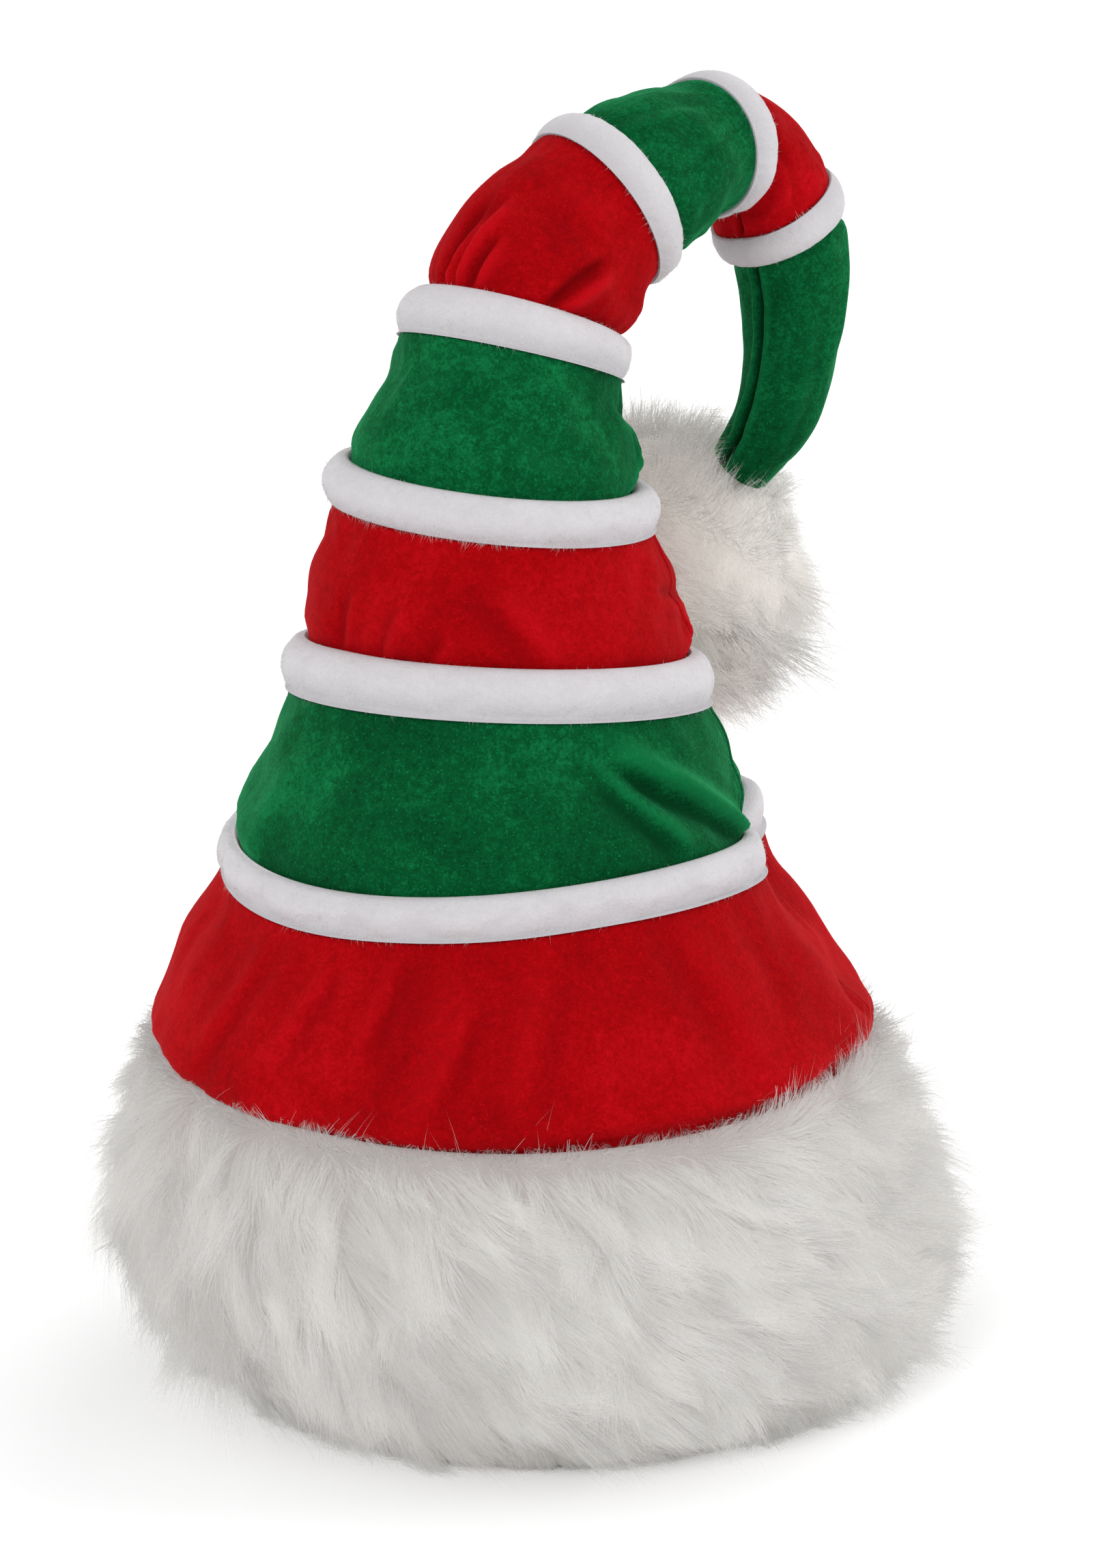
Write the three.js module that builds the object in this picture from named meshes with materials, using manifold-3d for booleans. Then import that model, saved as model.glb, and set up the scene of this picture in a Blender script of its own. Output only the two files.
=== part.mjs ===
// A tall santa hat of red and green velour bands with a padded white piping on every seam. The tip bends over
// to the right and curls down behind, where it carries a fur pompom, and a deep fur cuff goes round the rim.
// Millimetres, +Z up, the front towards -Y. Bearings count round the hat in degrees, from its front over
// its right.
import * as THREE from 'three';
import { LoftGeometry } from 'three/addons/geometries/LoftGeometry.js';
import { mergeVertices } from 'three/addons/utils/BufferGeometryUtils.js';
import Module from 'manifold-3d';

// Cloth and clearances
const wall = 2.4; // velour on its thin foam backing
const panelGap = 0.3; // between two panels under a piping
const rollGap = 0.4; // between a piping and the cloth that it sits on
const rollSink = 0.85; // share of a piping's thickness that stands outside its seam
const shoulder = 1.2; // distance from a seam to the full girth, in piping thicknesses
const rollFace = [-53, -25, 10, 45, 90]; // degrees round a roll's section, from its lower edge to its top
const rollLeast = 0.6; // least height of that face over the cloth
const flank = 0.354; // place of the cloth's rings under a roll's flanks, in piping thicknesses
const tipBearing = 135; // the way that the tip bends over
const waveStep = { from: 90, height: 2.2, over: 0.13 }; // of a wave: bearing, rise and share of the back half
const weldReach = 1e-4; // corners nearer than this are one

// Seams from the rim to the end of the tip: the centre, the lean of the axis (tilt from upright, towards a
// bearing), the outer radius of the piping, its thickness, its width along the axis, the power that rounds
// its section and the height of its wave. The rim and the tail end have no piping.
const seams = [
  { name: 'rim', x: 0, y: 0, z: 3, tilt: 0, bearing: 90, radius: 98, roll: 0, wave: 0 },
  {
    name: 'piping_1', x: -12.5, y: 0, z: 168, tilt: 0, bearing: 90,
    radius: 86.5, roll: 12.5, wide: 13.75, power: 0.65, wave: 3.5,
  },
  {
    name: 'piping_2', x: -12, y: 8, z: 222.5, tilt: 7, bearing: 160,
    radius: 67.5, roll: 14.5, wide: 17.7, power: 0.65, wave: 0,
  },
  {
    name: 'piping_3', x: -14, y: 12, z: 278, tilt: 6, bearing: 100,
    radius: 52.5, roll: 12, wide: 14.6, power: 0.65, wave: 0,
  },
  {
    name: 'piping_4', x: -7, y: 22, z: 325.5, tilt: 20, bearing: 142,
    radius: 37, roll: 15, wide: 16.5, power: 0.65, wave: 0,
  },
  {
    name: 'piping_5', x: 22, y: 46, z: 364.5, tilt: 61, bearing: 124,
    radius: 30, roll: 10.5, wide: 13.6, power: 0.45, wave: 0,
  },
  {
    name: 'piping_6', x: 55.5, y: 79, z: 377, tilt: 88, bearing: 142,
    radius: 23.5, roll: 10, wide: 14.5, power: 0.45, wave: 0,
  },
  {
    name: 'piping_7', x: 77.5, y: 96, z: 351, tilt: 152, bearing: 118,
    radius: 22.5, roll: 9, wide: 13, power: 0.45, wave: 0,
  },
  { name: 'tail_end', x: 66.5, y: 95.5, z: 270, tilt: 140, bearing: 238, radius: 11, roll: 0, wave: 0 },
];

// Bands of velour, one between each two seams: the cloth's radii at even steps from the lower seam to the
// upper one, the corners round the band and the rings along its middle.
const bands = [
  { name: 'panel_red_1', colour: 'red', girths: [98, 101, 106, 111.5, 102, 89], corners: 28, rings: 6 },
  { name: 'panel_green_1', colour: 'green', girths: [82, 74.5, 67], corners: 28, rings: 4 },
  { name: 'panel_red_2', colour: 'red', girths: [62, 56.5, 50], corners: 28, rings: 4 },
  { name: 'panel_green_2', colour: 'green', girths: [46.5, 41, 35], corners: 22, rings: 4 },
  { name: 'panel_red_3', colour: 'red', girths: [32, 31.5, 28], corners: 20, rings: 4 },
  { name: 'panel_green_3', colour: 'green', girths: [26, 25.5, 22], corners: 20, rings: 4 },
  { name: 'panel_red_4', colour: 'red', girths: [20, 20.5, 20], corners: 16, rings: 4 },
  { name: 'tail_green_4', colour: 'green', girths: [19, 18, 15, 11], corners: 16, rings: 6 },
];

// Folds in the cloth: the band, the middle of the fold (bearing, share of the way along), how far it goes in
// (or out, below zero), its half width in degrees, its half length along and the degrees that it slants.
const folds = [
  { band: 'panel_red_1', bearing: 95, along: 1, depth: 4, width: 14, length: 0.12, slant: 0 },
  { band: 'panel_red_1', bearing: 110, along: 1, depth: -5, width: 11, length: 0.12, slant: 0 },
  { band: 'panel_red_1', bearing: 335, along: 0.78, depth: 1.8, width: 13, length: 0.25, slant: 6 },
  { band: 'panel_red_1', bearing: 25, along: 0.8, depth: 1.5, width: 13, length: 0.25, slant: -6 },
  { band: 'panel_red_1', bearing: 190, along: 0.8, depth: 2, width: 15, length: 0.25, slant: 5 },
  { band: 'panel_green_1', bearing: 95, along: 0, depth: 5, width: 14, length: 0.4, slant: 0 },
  { band: 'panel_green_1', bearing: 110, along: 0, depth: -5, width: 11, length: 0.3, slant: 0 },
  { band: 'panel_green_1', bearing: 62, along: 0.35, depth: 3, width: 16, length: 0.3, slant: -40 },
  { band: 'panel_green_1', bearing: 285, along: 0.15, depth: -2, width: 30, length: 0.25, slant: 0 },
  { band: 'panel_green_1', bearing: 215, along: 0.5, depth: 2.5, width: 15, length: 0.35, slant: 12 },
  { band: 'panel_red_2', bearing: 85, along: 0.5, depth: 1.2, width: 16, length: 0.2, slant: 0 },
  { band: 'panel_red_2', bearing: 310, along: 0.2, depth: 1.5, width: 13, length: 0.3, slant: 5 },
  { band: 'panel_red_2', bearing: 170, along: 0.5, depth: 2, width: 14, length: 0.35, slant: -8 },
  { band: 'panel_green_2', bearing: 88, along: 0.2, depth: 2.2, width: 16, length: 0.14, slant: 0 },
  { band: 'panel_green_2', bearing: 84, along: 0.44, depth: -2, width: 17, length: 0.16, slant: 0 },
  { band: 'panel_red_3', bearing: 300, along: 0.3, depth: 2, width: 25, length: 0.25, slant: 20 },
  { band: 'panel_red_4', bearing: 130, along: 0.7, depth: 2.5, width: 30, length: 0.4, slant: 0 },
];

// Fur cuff: rings of its outer face from the floor up, hollows (or swellings, below zero) in that face, and
// tiers of locks by the height of their roots, with the way from root to tip out, down and to the hat's right
const cuffCorners = 28;
const cuffGap = 0.5; // between the cuff's backing and the red panel inside it
const cuffFoot = 105; // outer radius of the ring that rests on the floor
const cuffRows = [
  { z: 9, radius: 115 },
  { z: 24, radius: 126 },
  { z: 52, radius: 131 },
  { z: 82, radius: 129 },
  { z: 102, radius: 121 },
];
const cuffTop = { front: 104, side: 111, lip: 2.5 }; // height of the top edge and its rise over the cloth
const cuffDents = [
  { bearing: 300, depth: 6, width: 30, z: 12, height: 34 },
  { bearing: 75, depth: -6, width: 28, z: 24, height: 40 },
];
const cuffLocks = [
  { z: 36, count: 13, start: 0, out: 2, down: 32, right: 10, width: 48, thickness: 15 },
  { z: 62, count: 13, start: 14, out: 8, down: 34, right: 12, width: 48, thickness: 14 },
  { z: 86, count: 13, start: 5, out: 11, down: 34, right: 12, width: 48, thickness: 14 },
  { z: 106, count: 13, start: 18, out: 17, down: 28, right: 12, width: 44, thickness: 13 },
];
const lockBow = 1.8; // how far a lock bows out on its way to the tip

// Pompom: a round head with locks all over, pressed flat where it lies against the crown
const pompom = { x: 41, y: 115, z: 234, head: 47, detail: 3 };
const pompomLocks = { count: 40, out: 8, down: 20, width: 30, thickness: 16 };
const pompomPress = { from: 0.35, keep: 0.95 };
const pompomClear = 0.87; // cosine of the angle round the crown and the tail that stays free of locks

const colours = { red: '#b8000f', green: '#0a6b33', piping: '#dcdae0', fur: '#d9d9d6' };

function radians(degrees) {
  return THREE.MathUtils.degToRad(degrees);
}

function leaning(tilt, bearing) {
  return new THREE.Vector3(0, 0, 1)
    .applyAxisAngle(new THREE.Vector3(1, 0, 0), radians(tilt))
    .applyAxisAngle(new THREE.Vector3(0, 0, 1), radians(bearing));
}

function bearingBetween(a, b) {
  return THREE.MathUtils.euclideanModulo(a - b + 180, 360) - 180;
}

// Each seam's own frame: its axis up, its first direction towards the bend of the tip
for (const seam of seams) {
  seam.centre = new THREE.Vector3(seam.x, seam.y, seam.z);
  seam.axis = leaning(seam.tilt, seam.bearing);
  const side = leaning(90, tipBearing + 90).projectOnPlane(seam.axis).normalize();
  const ahead = new THREE.Vector3().crossVectors(side, seam.axis);
  seam.frame = new THREE.Quaternion().setFromRotationMatrix(
    new THREE.Matrix4().makeBasis(ahead, side, seam.axis),
  );
}

// Each band's middle line, and its girth as a smooth curve through the table's radii
bands.forEach((band, i) => {
  band.lower = seams[i];
  band.upper = seams[i + 1];
  band.length = band.lower.centre.distanceTo(band.upper.centre);
  const lead = band.length / 3;
  band.spine = new THREE.CubicBezierCurve3(
    band.lower.centre,
    band.lower.centre.clone().addScaledVector(band.lower.axis, lead),
    band.upper.centre.clone().addScaledVector(band.upper.axis, -lead),
    band.upper.centre,
  );
  const last = band.girths.length - 1;
  band.girth = new THREE.SplineCurve(band.girths.map((radius, k) => new THREE.Vector2(k / last, radius)));
  band.folds = folds.filter((fold) => fold.band === band.name);
});

// A wavy seam goes up and down over the front half, steps up behind the right side and falls off from there
function waveShape(bearing) {
  const behind = THREE.MathUtils.euclideanModulo(bearing - waveStep.from, 360) / 180;
  if (behind > 1) return Math.sin(2 * radians(bearing));
  return waveStep.height * (1 - behind) * THREE.MathUtils.smoothstep(behind, 0, waveStep.over);
}

// A point of the ring at a share of the way along a band
function onRing(band, along, bearing, radius) {
  const turn = radians(bearing - tipBearing);
  const blend = THREE.MathUtils.smoothstep(along, 0, 1);
  const frame = band.lower.frame.clone().slerp(band.upper.frame, blend);
  const lift = THREE.MathUtils.lerp(band.lower.wave, band.upper.wave, blend) * waveShape(bearing);
  return new THREE.Vector3(radius * Math.cos(turn), radius * Math.sin(turn), lift)
    .applyQuaternion(frame)
    .add(band.spine.getPoint(along));
}

function foldDepth(band, along, bearing) {
  let depth = 0;
  for (const fold of band.folds) {
    const up = (along - fold.along) / fold.length;
    const round = (bearingBetween(bearing, fold.bearing) - fold.slant * up) / fold.width;
    depth += fold.depth * Math.exp(-up * up - round * round);
  }
  return depth;
}

// Radius at which a seam's cloth runs under its piping
function seamRadius(seam) {
  return seam.radius - rollSink * seam.roll;
}

// Outer radius of the cloth: the girth, drawn in round both seams and dented by the folds
function clothRadius(band, along, bearing) {
  let radius = band.girth.getPoint(along).y;
  for (const [seam, share] of [[band.lower, along], [band.upper, 1 - along]]) {
    if (seam.roll === 0) continue;
    const near = Math.max(0, 1 - (share * band.length) / (shoulder * seam.roll));
    radius = THREE.MathUtils.lerp(radius, seamRadius(seam), near * near);
  }
  return radius - foldDepth(band, along, bearing);
}

function evenBearings(corners) {
  return Array.from({ length: corners }, (_, k) => (360 * k) / corners);
}

// Positions and triangles alone, with the corners that meet made one
function welded(geometry) {
  const bare = new THREE.BufferGeometry().setAttribute('position', geometry.getAttribute('position'));
  return mergeVertices(bare.setIndex(geometry.getIndex()), weldReach);
}

function closedLoft(sections) {
  return welded(new LoftGeometry([...sections, sections[0]]));
}

// Places of a band's rings: close to both seams, under the flank of each piping, and evenly between
function ringPlaces(band) {
  const inset = (seam, share) => Math.max(panelGap / 2, share * seam.roll) / band.length;
  const first = inset(band.lower, 2 * flank);
  const last = 1 - inset(band.upper, 2 * flank);
  const places = [{ along: inset(band.lower, 0), inner: true }];
  if (band.lower.roll > 0) places.push({ along: inset(band.lower, flank), inner: false });
  for (let k = 0; k < band.rings; k++) {
    const along = THREE.MathUtils.lerp(first, last, k / (band.rings - 1));
    if (along > places[0].along) places.push({ along, inner: true });
  }
  if (band.upper.roll > 0) places.push({ along: 1 - inset(band.upper, flank), inner: false });
  if (band.upper.roll > 0) places.push({ along: 1 - inset(band.upper, 0), inner: true });
  return places;
}

// A band is a tube of cloth, open at both seams
function bandGeometry(band) {
  const places = ringPlaces(band);
  const bearings = evenBearings(band.corners);
  const ring = (along, inset) =>
    bearings.map((bearing) => onRing(band, along, bearing, clothRadius(band, along, bearing) - inset));
  const outer = places.map((place) => ring(place.along, 0));
  const inner = places.filter((place) => place.inner).map((place) => ring(place.along, wall));
  return closedLoft([...outer, ...inner.reverse()]);
}

// A piping is a padded roll in the crease between two bands: its face from the edge that sits on the lower
// band up to its top, and its back along the cloth
function pipingGeometry(seam, below, above) {
  const half = seam.wide / 2;
  const corners = below.corners;
  const bearings = evenBearings(corners);
  const clearance = rollGap + seam.radius * (1 - Math.cos(Math.PI / corners));
  const face = rollFace.map((degrees) => ({
    offset: half * Math.sin(radians(degrees)),
    depth: half * (1 - Math.cos(radians(degrees)) ** seam.power),
    least: rollLeast,
  }));
  const back = [flank, 0, -flank].map((share) => ({ offset: share * seam.roll, depth: half * 2, least: 0 }));
  const sections = [...face, ...back].map(({ offset, depth, least }) => {
    const band = offset < 0 ? below : above;
    const along = offset < 0 ? 1 + offset / below.length : offset / above.length;
    return bearings.map((bearing) => {
      const sway = (foldDepth(below, 1, bearing) + foldDepth(above, 0, bearing)) / 2;
      const cloth = Math.max(clothRadius(band, along, bearing), seamRadius(seam) - sway);
      return onRing(band, along, bearing, Math.max(seam.radius - sway - depth, cloth + clearance + least));
    });
  });
  return closedLoft(sections);
}

const wasm = await Module();
wasm.setup();

function solidOf(geometry) {
  const { attributes, index } = welded(geometry);
  return new wasm.Manifold(
    new wasm.Mesh({
      numProp: 3,
      vertProperties: new Float32Array(attributes.position.array),
      triVerts: new Uint32Array(index.array),
    }),
  );
}

function geometryOf(solid) {
  const mesh = solid.getMesh();
  const geometry = new THREE.BufferGeometry();
  geometry.setAttribute('position', new THREE.BufferAttribute(mesh.vertProperties, 3));
  geometry.setIndex(new THREE.BufferAttribute(mesh.triVerts, 1));
  return geometry;
}

// A lock of fur: a flat strip with a ridge that tapers from its root to its tip and bows outwards between
function lockGeometry(root, tip, side, { width, thickness }) {
  const along = tip.clone().sub(root);
  const length = along.length();
  const across = side.clone().projectOnPlane(along).normalize();
  const outward = new THREE.Vector3().crossVectors(across, along).normalize();
  const geometry = new THREE.ConeGeometry(0.5, length, 3, 2).translate(0, length / 2, 0);
  const position = geometry.getAttribute('position');
  for (let i = 0; i < position.count; i++) {
    const share = position.getY(i) / length;
    const bow = lockBow * thickness * share * (1 - share);
    const point = root.clone().addScaledVector(along, share);
    point.addScaledVector(across, position.getX(i) * width);
    point.addScaledVector(outward, position.getZ(i) * thickness + bow);
    position.setXYZ(i, point.x, point.y, point.z);
  }
  return geometry;
}

function cuffTopHeight(bearing) {
  const toFront = (1 + Math.cos(radians(bearing))) / 2;
  return THREE.MathUtils.lerp(cuffTop.side, cuffTop.front, toFront * toFront);
}

function cuffDent(z, bearing) {
  return cuffDents.reduce((sum, dent) => {
    const up = (z - dent.z) / dent.height;
    const round = bearingBetween(bearing, dent.bearing) / dent.width;
    return sum + dent.depth * Math.exp(-up * up - round * round);
  }, 0);
}

// The red band runs down inside the cuff as far as the rim
const redBand = bands[0];
function redAlong(z) {
  return THREE.MathUtils.clamp((z - redBand.lower.z) / (redBand.upper.z - redBand.lower.z), 0, 1);
}

// Everything inside the red band's outer face, with the cuff's clearance, down through the floor
function insideRedBand() {
  const bearings = evenBearings(redBand.corners);
  const outside = (along, bearing) => clothRadius(redBand, along, bearing) + cuffGap;
  const rings = ringPlaces(redBand).map(({ along }) =>
    bearings.map((bearing) => onRing(redBand, along, bearing, outside(along, bearing))),
  );
  const underFloor = rings[0].map((point) => point.clone().setZ(-cuffGap));
  return solidOf(new LoftGeometry([underFloor, ...rings], { capStart: true, capEnd: true }));
}

function cuffPoint(z, bearing, radius) {
  return onRing(redBand, redAlong(z), bearing, radius).setZ(z);
}

function cuffBacking() {
  const ring = (heightAt, radiusAt) =>
    evenBearings(cuffCorners).map((bearing) => {
      const z = heightAt(bearing);
      return cuffPoint(z, bearing, radiusAt(z, bearing));
    });
  const sections = [ring(() => 0, () => cuffFoot)];
  for (const row of cuffRows) {
    sections.push(ring(() => row.z, (z, bearing) => row.radius - cuffDent(z, bearing)));
  }
  const lip = (z, bearing) => clothRadius(redBand, redAlong(z), bearing) + cuffTop.lip;
  sections.push(ring(cuffTopHeight, lip));
  return solidOf(new LoftGeometry(sections, { capStart: true, capEnd: true }));
}

function cuffGeometry() {
  const parts = [cuffBacking()];
  const faceRadius = new THREE.SplineCurve(cuffRows.map((row) => new THREE.Vector2(row.z, row.radius)));
  for (const tier of cuffLocks) {
    const face = faceRadius.getPoint((tier.z - cuffRows[0].z) / (cuffRows.at(-1).z - cuffRows[0].z)).y;
    for (let k = 0; k < tier.count; k++) {
      const bearing = tier.start + (360 * k) / tier.count;
      const left = leaning(90, bearing - 90);
      const root = cuffPoint(tier.z, bearing, face - cuffDent(tier.z, bearing) - tier.thickness / 3);
      const tip = root.clone().addScaledVector(leaning(90, bearing), tier.out);
      tip.addScaledVector(left, -tier.right);
      tip.z -= tier.down;
      parts.push(solidOf(lockGeometry(root, tip, left, tier)));
    }
  }
  return geometryOf(wasm.Manifold.union(parts).subtract(insideRedBand()));
}

// The pompom hangs at the height of this seam
const nearestSeam = seams.find((seam) => seam.name === 'piping_2');

// Directions spread evenly over a ball, along a spiral from pole to pole
function ballDirections(count) {
  const golden = Math.PI * (3 - Math.sqrt(5));
  return Array.from({ length: count }, (_, k) => {
    const height = 1 - (2 * k + 1) / count;
    const girth = Math.sqrt(1 - height * height);
    return new THREE.Vector3(girth * Math.cos(k * golden), girth * Math.sin(k * golden), height);
  });
}

function pompomGeometry() {
  const centre = new THREE.Vector3(pompom.x, pompom.y, pompom.z);
  const crownSide = nearestSeam.centre.clone().sub(centre).setZ(0).normalize();
  const tailSide = seams.at(-1).centre.clone().sub(centre).normalize();
  const pressed = (direction) => {
    const towards = THREE.MathUtils.smoothstep(direction.dot(crownSide), pompomPress.from, 1);
    return THREE.MathUtils.lerp(1, pompomPress.keep, towards);
  };
  const head = new THREE.IcosahedronGeometry(pompom.head, pompom.detail);
  const position = head.getAttribute('position');
  const point = new THREE.Vector3();
  for (let i = 0; i < position.count; i++) {
    point.fromBufferAttribute(position, i);
    point.multiplyScalar(pressed(point.clone().normalize())).add(centre);
    position.setXYZ(i, point.x, point.y, point.z);
  }
  const parts = [solidOf(head)];
  const { count, out, down, thickness } = pompomLocks;
  for (const direction of ballDirections(count)) {
    if (Math.max(direction.dot(tailSide), direction.dot(crownSide)) > pompomClear) continue;
    const scale = pressed(direction);
    const root = centre.clone().addScaledVector(direction, (pompom.head - thickness / 2) * scale);
    const tip = centre.clone().addScaledVector(direction, (pompom.head + out) * scale);
    tip.z -= down * (1 - Math.abs(direction.z));
    const side = new THREE.Vector3(direction.y, -direction.x, 0);
    parts.push(solidOf(lockGeometry(root, tip, side, pompomLocks)));
  }
  return geometryOf(wasm.Manifold.union(parts));
}

const hat = new THREE.Group();

function addPiece(name, geometry, colour, roughness) {
  const material = new THREE.MeshStandardMaterial({ color: colour, roughness, metalness: 0 });
  const mesh = new THREE.Mesh(geometry, material);
  mesh.name = name;
  hat.add(mesh);
}

addPiece('fur_cuff', cuffGeometry(), colours.fur, 0.95);
for (const band of bands) addPiece(band.name, bandGeometry(band), colours[band.colour], 0.8);
for (let i = 1; i < seams.length - 1; i++) {
  addPiece(seams[i].name, pipingGeometry(seams[i], bands[i - 1], bands[i]), colours.piping, 0.85);
}
addPiece('pompom', pompomGeometry(), colours.fur, 0.95);

// The origin is at the middle of the hat's box, on the floor
const box = new THREE.Box3().setFromObject(hat);
const middle = box.getCenter(new THREE.Vector3());
hat.position.set(-middle.x, -middle.y, -box.min.z);

const part = new THREE.Group();
part.add(hat);

export default part;
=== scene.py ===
import math

import bpy
import numpy as np
from mathutils import Matrix, Vector


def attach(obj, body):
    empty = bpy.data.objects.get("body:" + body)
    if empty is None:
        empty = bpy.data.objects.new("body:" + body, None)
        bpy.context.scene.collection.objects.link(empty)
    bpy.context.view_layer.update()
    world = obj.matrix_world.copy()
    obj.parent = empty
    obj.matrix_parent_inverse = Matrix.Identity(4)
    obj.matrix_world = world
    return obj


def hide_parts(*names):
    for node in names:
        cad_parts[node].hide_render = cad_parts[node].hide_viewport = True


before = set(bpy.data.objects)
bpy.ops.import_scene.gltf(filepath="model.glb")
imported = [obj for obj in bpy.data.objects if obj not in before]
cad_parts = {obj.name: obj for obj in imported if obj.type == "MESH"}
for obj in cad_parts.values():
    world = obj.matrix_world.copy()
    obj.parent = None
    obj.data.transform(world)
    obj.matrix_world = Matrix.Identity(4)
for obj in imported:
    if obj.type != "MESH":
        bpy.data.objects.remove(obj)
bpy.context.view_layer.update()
print("frame loaded")

mm = 0.001
upright = np.array((0.0, 0.0, 1.0))

# The hat's plan, in millimetres round the middle of the rim. Bearings go from the front over the right.
cloth = {"wall": 2.4, "gap": 0.3, "rollSink": 0.85, "shoulder": 1.2, "shelf": (0.3, 0.38), "level": 2.2,
         "tipBearing": 135}
waveStep = {"from": 90, "height": 2.2, "over": 0.13}
cuffEdge = {"front": 104, "side": 111, "puff": 2.0, "puffAt": 7, "puffReach": 7, "tuck": 4.5, "tuckAt": -2,
            "tuckReach": 4.5}

seams = [
    dict(name="rim", at=(0, 0, 3), tilt=0, bearing=90, radius=98, roll=0, wave=0),
    dict(name="piping_1", at=(-12.5, 0, 168), tilt=0, bearing=90, radius=86.5, roll=12.5, wave=3.5,
         wide=13.75, power=0.65),
    dict(name="piping_2", at=(-12, 8, 222.5), tilt=7, bearing=160, radius=67.5, roll=14.5, wave=0,
         wide=17.7, power=0.65),
    dict(name="piping_3", at=(-14, 12, 278), tilt=6, bearing=100, radius=52.5, roll=12, wave=0,
         wide=14.6, power=0.65),
    dict(name="piping_4", at=(-7, 22, 325.5), tilt=20, bearing=142, radius=37, roll=15, wave=0,
         wide=16.5, power=0.65),
    dict(name="piping_5", at=(22, 46, 364.5), tilt=61, bearing=124, radius=30, roll=10.5, wave=0,
         wide=13.6, power=0.45),
    dict(name="piping_6", at=(55.5, 79, 377), tilt=88, bearing=142, radius=23.5, roll=10, wave=0,
         wide=14.5, power=0.45),
    dict(name="piping_7", at=(77.5, 96, 351), tilt=152, bearing=118, radius=22.5, roll=9, wave=0,
         wide=13, power=0.45),
    dict(name="tail_end", at=(66.5, 95.5, 270), tilt=140, bearing=238, radius=11, roll=0, wave=0),
]

# girths: the cloth's radii from seam to seam. gathers: depth of the puckers at the lower and upper seam.
# overhang: how far the upper piping stands out over the cloth on the left and on the right.
# join: bearing of the lengthwise seam at both ends. rings and columns: the mesh along and round the band.
bands = [
    dict(name="panel_red_1", slot="red_velour", girths=(98, 101, 106, 111.5, 102, 89), gathers=(0, 0.45),
         overhang=(1.4, 1.0), seamDepth=1, join=(86, 84), rings=72, columns=216),
    dict(name="panel_green_1", slot="green_velour", girths=(82, 74.5, 67), gathers=(0.5, 0.35),
         overhang=(2.4, 2.0), seamDepth=1, join=(84, 82), rings=36, columns=196),
    dict(name="panel_red_2", slot="red_velour", girths=(62, 56.5, 50), gathers=(0.8, 0.4),
         overhang=(4.2, 1.8), seamDepth=1, join=(82, 84), rings=34, columns=176),
    dict(name="panel_green_2", slot="green_velour", girths=(46.5, 41, 35), gathers=(0.5, 0.35),
         overhang=(2.2, 1.6), seamDepth=1, join=(84, 88), rings=34, columns=160),
    dict(name="panel_red_3", slot="red_velour", girths=(32, 31.5, 28), gathers=(1.0, 0.5),
         overhang=(2, 2), seamDepth=1, join=(88, 100), rings=36, columns=150),
    dict(name="panel_green_3", slot="green_velour", girths=(26, 25.5, 22), gathers=(0.5, 0.5),
         overhang=(2, 2), seamDepth=1.3, join=(100, 115), rings=32, columns=136),
    dict(name="panel_red_4", slot="red_velour", girths=(20, 20.5, 20), gathers=(0.7, 0.6),
         overhang=(2, 2), seamDepth=1.5, join=(115, 130), rings=30, columns=128),
    dict(name="tail_green_4", slot="green_velour", girths=(18.7, 17, 14.2, 10.4), gathers=(0.5, 0.3),
         overhang=(0, 0), seamDepth=2.6, join=(130, 132), rings=48, columns=116),
]

# Dents of each band, the large ones as the solids have them:
# (bearing, share along, depth inwards, half width in degrees, half length along, slant)
folds = {
    "panel_red_1": (
        (95, 1, 4, 14, 0.12, 0), (95, 1, 4, 5, 0.1, 0), (110, 1, -5, 11, 0.12, 0),
        (88, 0.67, -4.5, 24, 0.09, 0), (335, 0.78, 1.8, 13, 0.25, 6), (25, 0.8, 1.5, 13, 0.25, -6),
        (190, 0.8, 2, 15, 0.25, 5)),
    "panel_green_1": (
        (95, 0, 5, 14, 0.4, 0), (95, 0, 4, 5, 0.2, 0), (110, 0, -5, 11, 0.3, 0),
        (92, 0.7, -3.2, 30, 0.15, 0), (62, 0.35, 3, 16, 0.3, -40), (285, 0.15, -2, 30, 0.25, 0),
        (215, 0.5, 2.5, 15, 0.35, 12)),
    "panel_red_2": (
        (85, 0.5, 1.2, 16, 0.2, 0), (92, 0.66, -3, 32, 0.16, 0), (310, 0.2, 1.5, 13, 0.3, 5),
        (170, 0.5, 2, 14, 0.35, -8)),
    "panel_green_2": ((88, 0.2, 2.2, 16, 0.14, 0), (84, 0.44, -2, 17, 0.16, 0)),
    "panel_red_3": ((300, 0.3, 2, 25, 0.25, 20),),
    "panel_red_4": ((130, 0.7, 2.5, 30, 0.4, 0),),
}

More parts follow.
